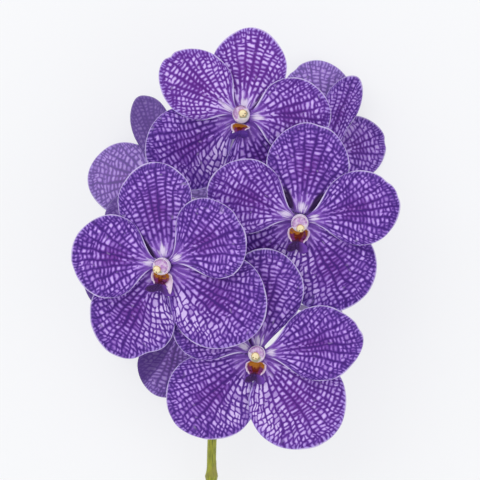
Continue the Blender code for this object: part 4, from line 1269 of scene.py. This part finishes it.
def add_light(name, middle, offset, size, power):
    """A soft round light at an offset from middle, facing it."""
    lamp = bpy.data.lights.new(name, "AREA")
    lamp.shape = "DISK"
    lamp.size = size
    lamp.energy = power
    light = bpy.data.objects.new(name, lamp)
    bpy.context.scene.collection.objects.link(light)
    light.location = middle + Vector(offset)
    light.rotation_euler = (middle - light.location).to_track_quat("-Z", "Y").to_euler()
    light.visible_camera = False


def sheet_material(name, look):
    """Opal acrylic sheet, cast and lit from below: an even white that softens the shadows on it."""
    material, _, shade = new_material(name)
    shade({"Base Color": look.floor, "Roughness": 0.9,
           "Emission Color": SHEET_GLOW, "Emission Strength": look.glow})
    return material


class ORCHID_OT_stage(bpy.types.Operator):
    """Lay a pale floor, set the soft lights and put the camera over the flowers"""
    bl_idname = "orchid.stage"
    bl_label = "Stage"

    def execute(self, context):
        look = context.scene.orchid_stage
        bm = bmesh.new()
        bmesh.ops.create_grid(bm, x_segments=2, y_segments=2, size=FLOOR_HALF)
        mesh = finish_mesh("floor", bm)
        mesh.materials.append(sheet_material("Opal acrylic sheet", look))
        floor = bpy.data.objects.new("floor", mesh)
        context.scene.collection.objects.link(floor)

        middle = -FOOTPRINT_MIDDLE * MM + Vector((0.0, 0.0, BLOOM_HEIGHT * MM))
        add_light("key", middle, *KEY_LIGHT, look.key_power)
        add_light("fill", middle, *FILL_LIGHT, look.fill_power)
        world = bpy.data.worlds.new("surround")
        context.scene.world = world
        world.use_nodes = True
        tree = world.node_tree
        feed(tree, tree.nodes["Background"], {"Color": WHITE, "Strength": look.sky_strength})

        camera = bpy.data.cameras.new("camera")
        distance = look.camera_height / MM - BLOOM_HEIGHT
        camera.sensor_width = SENSOR
        camera.lens = SENSOR * distance / (PHOTO_PIXELS * PIXEL)
        camera.clip_end = CLIP_END
        eye = bpy.data.objects.new("camera", camera)
        context.scene.collection.objects.link(eye)
        eye.location = (middle.x, middle.y, look.camera_height)
        context.scene.camera = eye
        context.scene.view_settings.view_transform = "Standard"
        return {"FINISHED"}


class ORCHID_PT_panel(bpy.types.Panel):
    """Buttons for the pieces of the spray, in the order they are made"""
    bl_label = "Orchid spray"
    bl_idname = "ORCHID_PT_panel"
    bl_space_type = "VIEW_3D"
    bl_region_type = "UI"
    bl_category = "Orchid"

    def draw(self, context):
        for operator in PIECE_OPERATORS:
            self.layout.operator(operator.bl_idname)
        for group in SETTINGS:
            settings = getattr(context.scene, group)
            for key in settings.bl_rna.properties.keys():
                if key not in {"rna_type", "name"}:
                    self.layout.prop(settings, key)


SETTINGS = {
    "orchid_tissue": TissueSettings,
    "orchid_lip": LipSettings,
    "orchid_column": ColumnSettings,
    "orchid_stem": StemSettings,
    "orchid_stage": StageSettings,
}
PIECE_OPERATORS = (ORCHID_OT_sepals, ORCHID_OT_petals, ORCHID_OT_lips, ORCHID_OT_columns, ORCHID_OT_stalks,
                   ORCHID_OT_stem, ORCHID_OT_stage)


def register():
    for cls in (*SETTINGS.values(), *PIECE_OPERATORS, ORCHID_PT_panel):
        bpy.utils.register_class(cls)
    for name, group in SETTINGS.items():
        setattr(bpy.types.Scene, name, PointerProperty(type=group))


def unregister():
    for name in SETTINGS:
        delattr(bpy.types.Scene, name)
    for cls in reversed((*SETTINGS.values(), *PIECE_OPERATORS, ORCHID_PT_panel)):
        bpy.utils.unregister_class(cls)


def main():
    register()
    bpy.ops.orchid.sepals()
    bpy.ops.orchid.petals()
    bpy.ops.orchid.lips()
    bpy.ops.orchid.columns()
    bpy.ops.orchid.stalks()
    bpy.ops.orchid.stem()
    bpy.ops.orchid.stage()


if __name__ == "__main__":
    main()
